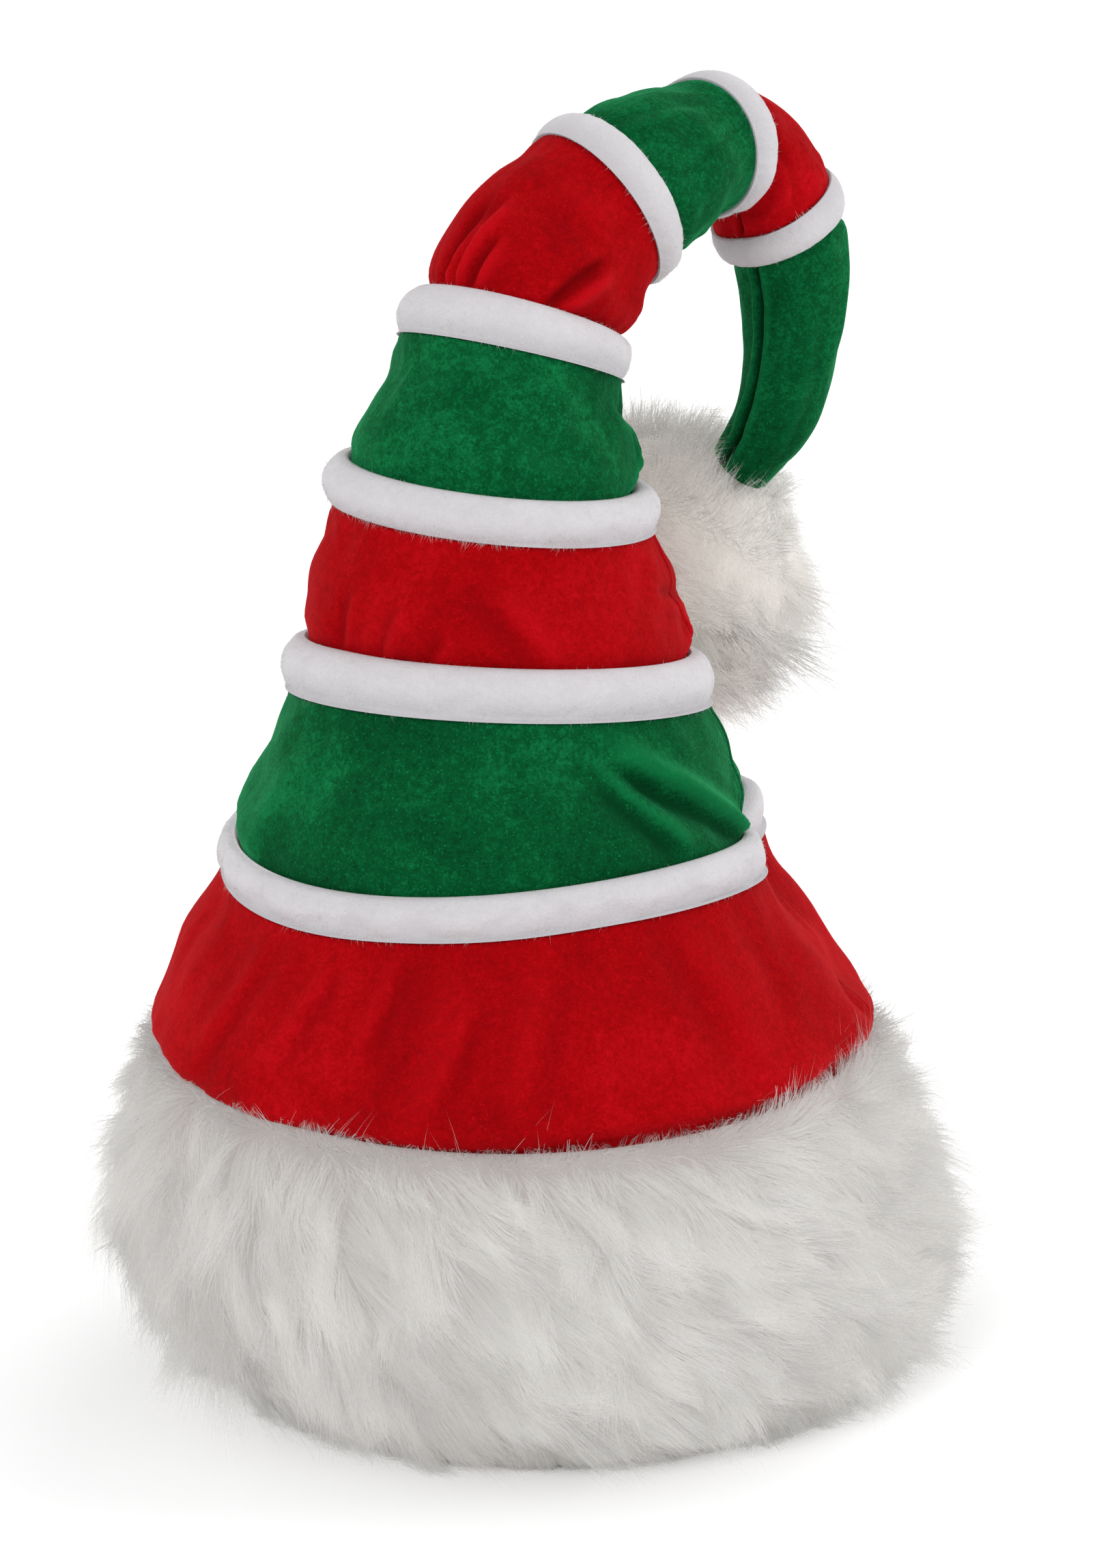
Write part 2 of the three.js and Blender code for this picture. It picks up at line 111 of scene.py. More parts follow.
# Finer folds of each band: a ridge from one place to another (bearing, share along), its height and half
# width in millimetres, and the depth of the valley on its right, as a share of the height
creases = {
    "panel_red_1": (
        ((343, 0.93), (338, 0.76), -1.2, 2.6, 0.8), ((358, 0.86), (351, 0.7), -1.1, 2.6, 0.8),
        ((329, 0.9), (322, 0.74), -1.0, 2.8, 0.8), ((352, 0.92), (345, 0.66), 0.7, 5, 0.9),
        ((312, 0.9), (304, 0.68), -0.8, 3.5, 0.9), ((12, 0.9), (6, 0.68), -0.8, 4, 0.9),
        ((40, 0.95), (46, 0.7), 0.8, 6, 0.8), ((150, 0.95), (158, 0.75), 1.2, 5, 0.7)),
    "panel_green_1": (
        ((36, 0.7), (80, 0.16), 6.2, 3.8, 0.6), ((28, 0.62), (47, 0.24), 3.2, 3.0, 0.8),
        ((292, 0.1), (300, 0.55), 0.9, 6, 0.8), ((200, 0.1), (224, 0.7), 1.4, 5, 0.8),
        ((150, 0.8), (132, 0.2), 1.3, 5, 0.8)),
    "panel_red_2": (
        ((303, 0.12), (309, 0.5), -1.2, 2.2, 0.8), ((321, 0.1), (329, 0.48), -1.1, 2.4, 0.8),
        ((338, 0.12), (344, 0.35), -1.0, 2.2, 0.8), ((4, 0.62), (18, 0.2), 1.3, 4.5, 0.9),
        ((70, 0.12), (92, 0.4), 1.1, 2.6, 0.9), ((68, 0.58), (96, 0.5), -1.4, 2.2, 0.5)),
    "panel_green_2": (
        ((64, 0.06), (88, 0.4), 2.0, 2.6, 1.1), ((70, 0.68), (96, 0.6), -1.2, 2.4, 0.7),
        ((6, 0.4), (28, 0.28), 0.5, 3.5, 0.8)),
    "panel_red_3": (
        ((294, 0.1), (310, 0.5), -3.4, 2.4, 0.9), ((307, 0.12), (319, 0.52), -3.0, 2.3, 0.9),
        ((321, 0.1), (330, 0.38), -2.4, 2.2, 0.9), ((14, 0.12), (33, 0.5), -3.2, 2.4, 0.9),
        ((340, 0.66), (20, 0.7), 0.7, 4, 0.6)),
    "panel_green_3": (((330, 0.15), (345, 0.6), -0.7, 2.0, 0.8), ((20, 0.8), (34, 0.3), -0.6, 2.0, 0.8)),
    "panel_red_4": (((40, 0.1), (60, 0.7), -0.8, 2.0, 0.8),),
    "tail_green_4": (((350, 0.1), (10, 0.5), -0.7, 2.2, 0.8), ((60, 0.3), (50, 0.8), -0.6, 2.0, 0.8)),
}
creaseShape = {"valleyAt": 1.8, "valleyWidth": 1.1, "past": 0.2, "fade": 0.45}


def lean(tilt, bearing):
    tilt, bearing = math.radians(tilt), math.radians(bearing)
    return np.array((math.sin(tilt) * math.sin(bearing), -math.sin(tilt) * math.cos(bearing), math.cos(tilt)))


def unit(vectors):
    return vectors / np.maximum(np.linalg.norm(vectors, axis=-1, keepdims=True), 1e-9)


def ease(x):
    x = np.clip(x, 0, 1)
    return x * x * (3 - 2 * x)


def bell(x):
    return np.exp(-(x**2))


def turnBetween(a, b):
    return (a - b + 180) % 360 - 180


def circle(bearing, radius=1.0):
    return radius * np.cos(np.radians(bearing)), radius * np.sin(np.radians(bearing))


# A smooth random field from a few plane waves, about -1 to 1. paces: how much their lengths differ from size.
def ripple(points, size, seed, waves=14, paces=(0.6, 1.6), height=0.6):
    rng = np.random.default_rng(seed)
    ways = unit(rng.normal(size=(waves, points.shape[-1])))
    pace = rng.uniform(*paces, waves) * 2 * math.pi / size
    phase = rng.uniform(0, 2 * math.pi, waves)
    return np.sin((points @ ways.T) * pace + phase).sum(-1) / math.sqrt(waves / 2) * height


for seam in seams:
    seam["centre"] = np.array(seam["at"], float)
    seam["axis"] = lean(seam["tilt"], seam["bearing"])
    side = lean(90, cloth["tipBearing"] + 90)
    side = unit(side - (side @ seam["axis"]) * seam["axis"])
    ahead = np.cross(side, seam["axis"])
    seam["frame"] = Matrix(np.stack((ahead, side, seam["axis"]), 1).tolist()).to_quaternion()

for k, band in enumerate(bands):
    band["lower"], band["upper"] = seams[k], seams[k + 1]
    start, end = band["lower"]["centre"], band["upper"]["centre"]
    band["length"] = np.linalg.norm(end - start)
    lead = band["length"] / 3
    band["spine"] = (start, start + band["lower"]["axis"] * lead, end - band["upper"]["axis"] * lead, end)
    band["folds"] = folds.get(band["name"], ())
    band["creases"] = creases.get(band["name"], ())


def girthAt(girths, along):
    last = len(girths) - 1
    g = np.array(girths, float)
    place = np.clip(along, 0, 1) * last
    i = np.minimum(place.astype(int), last)
    t = place - i
    p0, p1 = g[np.maximum(i - 1, 0)], g[i]
    p2, p3 = g[np.minimum(i + 1, last)], g[np.minimum(i + 2, last)]
    v0, v1 = (p2 - p0) / 2, (p3 - p1) / 2
    return (2 * p1 - 2 * p2 + v0 + v1) * t**3 + (-3 * p1 + 3 * p2 - 2 * v0 - v1) * t**2 + v0 * t + p1


# The wavy seam goes up and down over the front half and steps up behind the right side
def waveShape(bearing):
    behind = (bearing - waveStep["from"]) % 360 / 180
    step = waveStep["height"] * (1 - behind) * ease(behind / waveStep["over"])
    return np.where(behind > 1, np.sin(2 * np.radians(bearing)), step)


# Points of one ring of a band, for arrays of bearings and radii
def onRing(band, along, bearing, radius):
    blend = float(ease(along))
    turn = np.array(band["lower"]["frame"].slerp(band["upper"]["frame"], blend).to_matrix())
    wave = band["lower"]["wave"] * (1 - blend) + band["upper"]["wave"] * blend
    a, b, c, d = band["spine"]
    t, s = along, 1 - along
    centre = a * s**3 + 3 * b * s * s * t + 3 * c * s * t * t + d * t**3
    x, y = circle(bearing - cloth["tipBearing"], radius)
    return np.stack((x, y, wave * waveShape(bearing) + 0 * radius), -1) @ turn.T + centre


def foldDepth(band, along, bearing):
    depth = 0 * bearing
    for atBearing, atAlong, deep, width, length, slant in band["folds"]:
        up = (along - atAlong) / length
        around = (turnBetween(bearing, atBearing) - slant * up) / width
        depth = depth + deep * np.exp(-up * up - around * around)
    return depth


def seamRadius(seam):
    return seam["radius"] - cloth["rollSink"] * seam["roll"]


def cuffTop(bearing):
    front = (1 + np.cos(np.radians(bearing))) / 2
    return cuffEdge["side"] + (cuffEdge["front"] - cuffEdge["side"]) * front * front


def clothRadius(band, along, bearing):
    radius = girthAt(band["girths"], np.asarray(along, float)) + 0 * bearing
    lower, upper = band["lower"], band["upper"]
    if not lower["roll"]:  # the lowest band puffs out over the cuff's top edge and is drawn in there
        rise = lower["at"][2] + along * band["length"] - cuffTop(bearing)
        radius = radius + cuffEdge["puff"] * bell((rise - cuffEdge["puffAt"]) / cuffEdge["puffReach"])
        radius = radius - cuffEdge["tuck"] * bell((rise - cuffEdge["tuckAt"]) / cuffEdge["tuckReach"])
    if lower["roll"]:
        near = np.maximum(0, 1 - along * band["length"] / (cloth["shoulder"] * lower["roll"]))
        radius = radius + (seamRadius(lower) - radius) * near * near
    if upper["roll"]:  # the cloth runs up to the piping, nearly as wide, and turns in under it
        gap = (1 - along) * band["length"] / upper["wide"]
        low, high = cloth["shelf"]
        left, right = band["overhang"]
        under = upper["radius"] - (left + right) / 2 - (right - left) / 2 * np.sin(np.radians(bearing))
        radius = radius + (under - radius) * ease(1 - gap / cloth["level"])
        radius = radius + (seamRadius(upper) - radius) * (1 - ease((gap - low) / (high - low)))
    return radius - foldDepth(band, along, bearing)


def creaseHeight(band, along, bearing):
    height = 0 * bearing
    for (b0, a0), (b1, a1), high, width, valley in band["creases"]:
        radius = float(girthAt(band["girths"], np.array((a0 + a1) / 2)))
        runX, runY = math.radians(turnBetween(b1, b0)) * radius, (a1 - a0) * band["length"]
        run = math.hypot(runX, runY)
        x, y = np.radians(turnBetween(bearing, b0)) * radius, (along - a0) * band["length"]
        share = (x * runX + y * runY) / run**2
        aside = (x * runY - y * runX) / run / width
        shape = bell(aside) - valley * bell((aside - creaseShape["valleyAt"]) / creaseShape["valleyWidth"])
        begin = ease((share + creaseShape["past"]) / creaseShape["fade"])
        end = ease((1 + creaseShape["past"] - share) / creaseShape["fade"])
        height = height + high * shape * begin * end
    return height


# The rim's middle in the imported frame, from the lowest ring of the lowest band
rim = np.array([v.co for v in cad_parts["panel_red_1"].data.vertices])
rim = rim[rim[:, 2] < rim[:, 2].min() + mm]
hatShift = np.array((*(rim.min(0) + rim.max(0))[:2] / 2, 0)) / mm


def addObject(name, data):
    piece = bpy.data.objects.new(name, data)
    bpy.context.scene.collection.objects.link(piece)
    return piece


def makeMesh(name, points, faces, material):
    mesh = bpy.data.meshes.new(name)
    mesh.from_pydata(((points + hatShift) * mm).tolist(), [], faces)
    mesh.materials.append(material)
    mesh.shade_smooth()
    return addObject(name, mesh)


# Quads between rings of points that close round, and from the last ring to the first where loop is set
def ringFaces(rings, columns, loop):
    i, k = np.meshgrid(np.arange(rings if loop else rings - 1), np.arange(columns), indexing="ij")
    i2, k2 = (i + 1) % rings, (k + 1) % columns
    corners = (i * columns + k, i * columns + k2, i2 * columns + k2, i2 * columns + k)
    return np.stack(corners, -1).reshape(-1, 4).tolist()


# Values for a piece's points: one number each, or one row of three
def setAttributes(piece, **given):
    for name, values in given.items():
        values = np.ascontiguousarray(values, np.float32)
        kind, key = ("FLOAT_VECTOR", "vector") if values.ndim == 2 else ("FLOAT", "value")
        attribute = piece.data.attributes.get(name) or piece.data.attributes.new(name, kind, "POINT")
        attribute.data.foreach_set(key, values.ravel())


# Node helpers
def addNode(tree, kind, inputs=None, **settings):
    node = tree.nodes.new(kind)
    for name, value in settings.items():
        setattr(node, name, value)
    for key, value in (inputs or {}).items():
        if isinstance(value, bpy.types.NodeSocket):
            tree.links.new(value, node.inputs[key])
        else:
            node.inputs[key].default_value = value
    return node


def vectorOp(tree, operation, first, second=None, scale=None):
    inputs = {0: first}
    if second is not None:
        inputs[1] = second
    if scale is not None:
        inputs["Scale"] = scale
    return addNode(tree, "ShaderNodeVectorMath", inputs, operation=operation).outputs[0]


def numberOp(tree, operation, first, second=0.0, clamp=False):
    node = addNode(tree, "ShaderNodeMath", {0: first, 1: second}, operation=operation, use_clamp=clamp)
    return node.outputs[0]


def mixColour(tree, factor, first, second):
    inputs = {"Factor": factor, 6: first, 7: second}
    return addNode(tree, "ShaderNodeMix", inputs, data_type="RGBA").outputs[2]


def noise(tree, place, scale, detail, roughness=0.5, distortion=0.0):
    inputs = {"Vector": place, "Scale": scale, "Detail": detail, "Roughness": roughness,
              "Distortion": distortion}
    return addNode(tree, "ShaderNodeTexNoise", inputs).outputs[0]


def between(tree, value, low, high, most=1.0):
    return addNode(tree, "ShaderNodeMapRange", {0: value, 1: low, 2: high, 4: most}).outputs[0]


def attributeOf(tree, name, output="Fac"):
    return addNode(tree, "ShaderNodeAttribute", attribute_name=name).outputs[output]


# Velour nap: patches where the pile leans another way, tufts, a fine grain and a few bright specks.
# Each texture has its detail, roughness and distortion.
napTextures = {"Patch": (3.0, 0.6, 0.8), "Tuft": (3.0, 0.7, 0.5), "Grain": (2.0, 0.6, 0.0)}
napMix = {"even": 0.5, "tuft": 0.8, "grain": 0.6, "light": 0.9, "dark": 0.15, "speckSize": 1500.0,
          "speck": (0.64, 0.76)}
napInputs = {"Vector": None, "Pile": (0.5, 0, 0, 1), "Raised": (0.8, 0.1, 0.1, 1), "Crushed": (0.2, 0, 0, 1),
             "Patch": 40.0, "Tuft": 250.0, "Grain": 900.0, "Amount": 0.5}


def napGroup():
    tree = bpy.data.node_groups.new("velourNap", "ShaderNodeTree")
    kinds = {type(None): "NodeSocketVector", tuple: "NodeSocketColor", float: "NodeSocketFloat"}
    for name, value in napInputs.items():
        socket = tree.interface.new_socket(name, in_out="INPUT", socket_type=kinds[type(value)])
        if value is not None:
            socket.default_value = value
    tree.interface.new_socket("Colour", in_out="OUTPUT", socket_type="NodeSocketColor")
    tree.interface.new_socket("Height", in_out="OUTPUT", socket_type="NodeSocketFloat")
    given = tree.nodes.new("NodeGroupInput").outputs
    result = tree.nodes.new("NodeGroupOutput").inputs
    patch, tuft, grain = (noise(tree, given["Vector"], given[name], *texture)
                          for name, texture in napTextures.items())
    mixed = patch
    for texture, weight in ((tuft, napMix["tuft"]), (grain, napMix["grain"])):
        part = numberOp(tree, "MULTIPLY", numberOp(tree, "SUBTRACT", texture, napMix["even"]), weight)
        mixed = numberOp(tree, "ADD", mixed, part)
    light = between(tree, mixed, napMix["even"], napMix["light"])
    dark = between(tree, mixed, napMix["even"], napMix["dark"])
    speck = between(tree, noise(tree, given["Vector"], napMix["speckSize"], 1.0), *napMix["speck"])
    colour = given["Pile"]
    for share, tone in ((light, given["Raised"]), (dark, given["Crushed"]), (speck, given["Raised"])):
        colour = mixColour(tree, numberOp(tree, "MULTIPLY", share, given["Amount"]), colour, tone)
    tree.links.new(colour, result["Colour"])
    tree.links.new(numberOp(tree, "ADD", grain, tuft), result["Height"])
    return tree


velours = {
    "red_velour": dict(
        pile=(0.3, 0.0003, 0.002, 1), raised=(0.48, 0.003, 0.008, 1), crushed=(0.17, 0.0, 0.0011, 1),
        sheen=(1.0, 0.03, 0.04, 1), sheenWeight=0.3, patch=20.0, tuft=380.0, grain=1000.0, amount=0.7,
        bump=0.45),
    "green_velour": dict(
        pile=(0.0006, 0.068, 0.018, 1), raised=(0.005, 0.17, 0.052, 1), crushed=(0.0002, 0.03, 0.008, 1),
        sheen=(0.08, 1.0, 0.38, 1), sheenWeight=0.3, patch=20.0, tuft=380.0, grain=1000.0, amount=0.9,
        bump=0.45),
    # shade: a painted shade colour for the lower side of the rolls
    "white_velour": dict(
        pile=(0.53, 0.512, 0.53, 1), raised=(0.64, 0.63, 0.64, 1), crushed=(0.44, 0.424, 0.446, 1),
        shade=(0.4, 0.385, 0.41, 1), sheen=(1.0, 1.0, 1.0, 1), sheenWeight=0.1, patch=60.0, tuft=420.0,
        grain=1100.0, amount=0.35, bump=0.4),
}
velourLight = {"bumpHeight": 0.6 * mm, "roughness": 0.88, "specular": 0.04, "sheenRoughness": 0.32}
# Height of a crease, in millimetres, whose painted light shows fully, and how much painted highlight its
# ridge and painted shade its valley get, in the nap's raised and crushed colours
creasePaintedLight = {"height": 2.0, "ridge": 0.55, "valley": 0.85}


def newMaterial(name):
    material = bpy.data.materials.new(name)
    material.use_nodes = True
    return material, material.node_tree, material.node_tree.nodes["Principled BSDF"]


def velourMaterial(name, nap):
    look = velours[name]
    material, tree, shader = newMaterial(name)
    place = tree.nodes.new("ShaderNodeTexCoord").outputs["Object"]
    pile = addNode(tree, "ShaderNodeGroup", {"Vector": place}, node_tree=nap)
    for key in ("pile", "raised", "crushed", "patch", "tuft", "grain", "amount"):
        pile.inputs[key.capitalize()].default_value = look[key]
    bump = addNode(tree, "ShaderNodeBump", {"Height": pile.outputs["Height"], "Strength": look["bump"],
                                            "Distance": velourLight["bumpHeight"]})
    colour = pile.outputs["Colour"]
    if "shade" in look:  # painted shade on the lower side of the rolls
        colour = mixColour(tree, attributeOf(tree, "under"), colour, look["shade"])
    else:  # painted highlight on the ridges of creases and painted shade in their valleys
        relief = attributeOf(tree, "relief")
        for share, tone in ((creasePaintedLight["ridge"], look["raised"]), (-creasePaintedLight["valley"], look["crushed"])):
            colour = mixColour(tree, numberOp(tree, "MULTIPLY", relief, share, clamp=True), colour, tone)
    tree.links.new(colour, shader.inputs["Base Color"])
    tree.links.new(bump.outputs[0], shader.inputs["Normal"])
    shader.inputs["Roughness"].default_value = velourLight["roughness"]
    shader.inputs["Specular IOR Level"].default_value = velourLight["specular"]
    shader.inputs["Sheen Weight"].default_value = look["sheenWeight"]
    shader.inputs["Sheen Roughness"].default_value = velourLight["sheenRoughness"]
    shader.inputs["Sheen Tint"].default_value = look["sheen"]
    return material


velourNap = napGroup()
finishes = {name: velourMaterial(name, velourNap) for name in velours}

# root and hollow are painted shade: the strands cast no shadows, so their roots are coloured greyer than
# their tips, and some locks and soft patches greyer still
furs = {
    "white_fur": dict(root=(0.555, 0.545, 0.53, 1), tip=(0.8, 0.785, 0.765, 1), paintedHollowShade=(0.42, 0.41, 0.4, 1),
                      glow=(0.88, 0.87, 0.85, 1)),
    # the pompom's copy is lighter all over: painted light for the ball, which sits behind the hat
    "pompom_fur_painted_light": dict(root=(0.76, 0.735, 0.695, 1), tip=(0.9, 0.88, 0.84, 1), paintedHollowShade=(0.7, 0.675, 0.64, 1),
                       glow=(0.97, 0.95, 0.92, 1)),
}
# wisps and cloud: how much painted shade the locks and the soft patches get; cloudSize, cloudDetail and
# cloudRange shape the patches
furLight = {"through": 0.45, "smooth": 0.8, "fade": 0.85, "fadePower": 1.7, "wisps": 0.75, "cloudSize": 30.0,
            "cloudDetail": 2.0, "cloudRange": (0.45, 0.75), "cloud": 0.3, "roughness": 0.75, "specular": 0.08}


# White pile with painted shade, greyer at its roots and, at random, over some locks and soft patches; it lets
# some light through and fades out at its tips
def furMaterial(name):
    look = furs[name]
    material, tree, shader = newMaterial(name)
    place = tree.nodes.new("ShaderNodeTexCoord").outputs["Object"]
    share = attributeOf(tree, "share")
    wisp = numberOp(tree, "MULTIPLY", attributeOf(tree, "wisp"), furLight["wisps"])
    cloud = noise(tree, place, furLight["cloudSize"], furLight["cloudDetail"])
    cloud = between(tree, cloud, *furLight["cloudRange"], furLight["cloud"])
    # Painted shade: from the root colour towards the tip colour along each strand, then towards the hollow
    # colour by wisp and by soft patches
    colour = look["root"]
    for factor, tone in ((share, look["tip"]), (wisp, look["paintedHollowShade"]), (cloud, look["paintedHollowShade"])):
        colour = mixColour(tree, factor, colour, tone)
    tree.links.new(colour, shader.inputs["Base Color"])
    shader.inputs["Roughness"].default_value = furLight["roughness"]
    shader.inputs["Specular IOR Level"].default_value = furLight["specular"]
    skin = attributeOf(tree, "skin", "Vector")
    own = tree.nodes.new("ShaderNodeNewGeometry").outputs["Normal"]
    blend = vectorOp(tree, "ADD", vectorOp(tree, "SCALE", skin, scale=furLight["smooth"]),
                     vectorOp(tree, "SCALE", own, scale=1 - furLight["smooth"]))
    tree.links.new(vectorOp(tree, "NORMALIZE", blend), shader.inputs["Normal"])
    glow = addNode(tree, "ShaderNodeBsdfTranslucent", {"Color": look["glow"]}).outputs[0]
    inputs = {0: furLight["through"], 1: shader.outputs[0], 2: glow}
    both = addNode(tree, "ShaderNodeMixShader", inputs).outputs[0]
    clear = tree.nodes.new("ShaderNodeBsdfTransparent").outputs[0]
    gone = numberOp(tree, "MULTIPLY", numberOp(tree, "POWER", share, furLight["fadePower"]), furLight["fade"])
    faded = addNode(tree, "ShaderNodeMixShader", {0: gone, 1: both, 2: clear}).outputs[0]
    tree.links.new(faded, tree.nodes["Material Output"].inputs["Surface"])
    return material


finishes.update((name, furMaterial(name)) for name in furs)
print("materials ready")

# Lengthwise seam, puckers at the pipings and soft unevenness of the cloth, in millimetres
seamLine = {"reach": 7.0, "columns": 28, "groove": 1.1, "grooveWidth": 1.0, "welt": 0.45, "weltAt": 2.4,
            "weltWidth": 1.2}
pucker = {"pitch": 6.5, "reach": 6.0, "wander": 26.0, "from": 0.4, "shift": 3, "even": 0.5}
slack = {"size": 46.0, "depth": 0.7, "fineSize": 17.0, "fineDepth": 0.22}
calm = {"lower": 0.5, "upper": 0.04, "least": 0.25, "over": 3}  # no detail where the pipings cover the cloth


def bandBearings(band, along):
    join = band["join"][0] + (band["join"][1] - band["join"][0]) * along
    reach = math.degrees(seamLine["reach"] / max(band["girths"]))
    near = np.linspace(-reach, reach, seamLine["columns"], endpoint=False)
    rest = np.linspace(reach, 360 - reach, band["columns"], endpoint=False)
    return join + np.concatenate((near, rest)), np.concatenate((near, turnBetween(rest, 0)))


# Creases and the lengthwise seam, in millimetres
def clothRelief(band, along, bearing, offset):
    arc = np.abs(np.radians(offset)) * float(girthAt(band["girths"], np.array(along)))
    line = seamLine["welt"] * bell((arc - seamLine["weltAt"]) / seamLine["weltWidth"])
    line = line - seamLine["groove"] * bell(arc / seamLine["grooveWidth"])
    return creaseHeight(band, along, bearing) + band["seamDepth"] * line


def clothDetail(band, along, bearing, offset):
    seed, height = band["seed"], along * band["length"]
    radius = float(girthAt(band["girths"], np.array(along)))
    arc = np.radians(offset) * radius
    ring = np.stack(circle(bearing, radius), -1)
    flat = np.stack((*circle(bearing, radius), 0 * bearing + height), -1)
    detail = slack["depth"] * ripple(flat, slack["size"], seed) + clothRelief(band, along, bearing, offset)
    detail = detail + slack["fineDepth"] * ripple(flat, slack["fineSize"], seed + 1)
    for seam, gap, depth, turn in ((band["lower"], height, band["gathers"][0], 2),
                                   (band["upper"], band["length"] - height, band["gathers"][1], 3)):
        wander = ripple(ring, pucker["wander"], seed + turn)
        fade = math.exp(-max(0.0, gap - pucker["from"] * seam["roll"]) / pucker["reach"])
        puckers = np.sin(2 * math.pi * arc / pucker["pitch"] + pucker["shift"] * wander)
        detail = detail + depth * fade * puckers * (pucker["even"] + (1 - pucker["even"]) * wander)
    below = height - calm["lower"] * band["lower"].get("wide", 0)
    above = band["length"] - height - (cloth["shelf"][1] + calm["upper"]) * band["upper"].get("wide", 0)
    return detail * max(0.0, min(1.0, calm["least"] + below / calm["over"], above / calm["over"]))


# Places of a band's rings along it, close together where the cloth turns in under the upper piping
def ringPlaces(band, rings, turns):
    first = cloth["gap"] / 2 / band["length"]
    if not band["upper"]["roll"]:
        return np.linspace(first, 1, rings)
    reach = band["upper"]["wide"] / band["length"]
    low, high = (share * reach for share in cloth["shelf"])
    upTo, turnIn = np.linspace(first, 1 - high, rings - turns), np.linspace(1 - high, 1 - low, turns)[1:]
    return np.concatenate((upTo, turnIn, [1 - first]))


# Cloth simulation: pieces of cloth a little too large for their seams, blown out by what is inside them.
# slack: share that the cloth is too large. cap: how far a point may move, as a share of the piece's radius.
# hold: where a band is held at its seams, in shares of the pipings' widths, and at the tail's end.
settling = {"frames": 20, "quality": 6, "stretch": 15.0, "bend": 0.4, "mostMove": 2.6,
            "bands": dict(slack=0.02, pressure=1.2, cap=0.032),
            "rolls": dict(slack=0.01, pressure=4.0, cap=0.03),
            "hold": dict(lower=0.5, upper=0.1, tailEnd=6, fade=4)}


def startSettling(grid, held, loop, look):
    mesh = bpy.data.meshes.new("settling")
    mesh.from_pydata((grid.reshape(-1, 3) * mm).tolist(), [], ringFaces(len(grid), grid.shape[1], loop))
    piece = addObject("settling", mesh)
    pins = piece.vertex_groups.new(name="held")
    for number, weight in enumerate(held.ravel()):
        if weight > 0:
            pins.add([number], float(weight), "REPLACE")
    modifier = piece.modifiers.new("settle", "CLOTH")
    modifier.settings.quality = settling["quality"]
    modifier.settings.tension_stiffness = modifier.settings.compression_stiffness = settling["stretch"]
    modifier.settings.bending_stiffness = settling["bend"]
    modifier.settings.vertex_group_mass = "held"
    modifier.settings.shrink_min = -look["slack"]
    modifier.settings.use_pressure = True
    modifier.settings.uniform_pressure_force = look["pressure"]
    modifier.settings.effector_weights.gravity = 0
    modifier.collision_settings.use_collision = False
    modifier.point_cache.frame_start, modifier.point_cache.frame_end = 1, settling["frames"]
    return piece


# How far the points of each grid move. Each job is a grid of points, how firmly each is held, whether the
# grid closes both ways, and the piece's radius.
def settle(jobs, look):
    scene = bpy.context.scene
    pieces = [startSettling(grid, held, loop, look) for grid, held, loop, _ in jobs]
    for number in range(1, settling["frames"] + 1):
        scene.frame_set(number)
    graph = bpy.context.evaluated_depsgraph_get()
    moves = []
    for piece, (grid, _, _, radius) in zip(pieces, jobs):
        now = np.zeros(grid.size, np.float32)
        piece.evaluated_get(graph).data.vertices.foreach_get("co", now)
        move = now.reshape(grid.shape) / mm - grid
        size = np.linalg.norm(move, axis=-1, keepdims=True)
        cap = min(settling["mostMove"], look["cap"] * radius)
        moves.append(move * np.tanh(size / cap) * cap / np.maximum(size, 1e-6))
    for piece in pieces:
        bpy.data.meshes.remove(piece.data)
    scene.frame_set(1)
    return moves


# Every second ring and column of a band is enough for the simulation
def thinRings(count):
    return np.unique(np.append(np.arange(0, count, 2), count - 1))


def fillBetween(move, count):
    columns = np.empty((len(move), move.shape[1] * 2, 3))
    columns[:, ::2] = move
    columns[:, 1::2] = (move + np.roll(move, -1, 1)) / 2
    kept = thinRings(count)
    place = np.interp(np.arange(count), kept, np.arange(len(kept)))
    low = np.minimum(place.astype(int), len(kept) - 2)
    t = (place - low)[:, None, None]
    full = columns[low] * (1 - t) + columns[low + 1] * t
    full = (np.roll(full, 1, 1) + 2 * full + np.roll(full, -1, 1)) / 4
    full[1:-1] = (full[:-2] + 2 * full[1:-1] + full[2:]) / 4
    return full


def heldAt(band, along):
    hold = settling["hold"]
    bearing, _ = bandBearings(band, along)
    height, gap = along * band["length"], (1 - along) * band["length"]
    low, covered = band["lower"]["at"][2] + height - cuffTop(bearing), hold["tailEnd"]
    if band["lower"]["roll"]:
        low = 0 * bearing + height - hold["lower"] * band["lower"]["wide"]
    if band["upper"]["roll"]:
        covered = (cloth["shelf"][1] + hold["upper"]) * band["upper"]["wide"]
    return np.maximum(ease(1 - low / hold["fade"]), ease(1 - (gap - covered) / hold["fade"]))


def clothRing(band, along, inset):
    bearing, offset = bandBearings(band, along)
    detail = clothDetail(band, along, bearing, offset)
    return onRing(band, along, bearing, clothRadius(band, along, bearing) + detail - inset)


# turns: rings where the cloth turns in under a piping. insideThin: one ring inside for so many outside.
sewing = {"seed": 40, "seedStep": 10, "turns": 8, "insideTurns": 3, "insideThin": 3}
for number, band in enumerate(bands):
    band["seed"] = sewing["seed"] + sewing["seedStep"] * number
    band["places"] = ringPlaces(band, band["rings"], sewing["turns"])
    band["outside"] = np.array([clothRing(band, along, 0) for along in band["places"]])
    band["held"] = np.array([heldAt(band, along) for along in band["places"]])
jobs = []
for band in bands:
    kept = thinRings(len(band["places"]))
    jobs.append((band["outside"][kept][:, ::2], band["held"][kept][:, ::2], False, max(band["girths"])))
for band, move in zip(bands, settle(jobs, settling["bands"])):
    band["move"] = fillBetween(move, len(band["places"])) * (1 - band["held"])[..., None]
print("cloth settled")


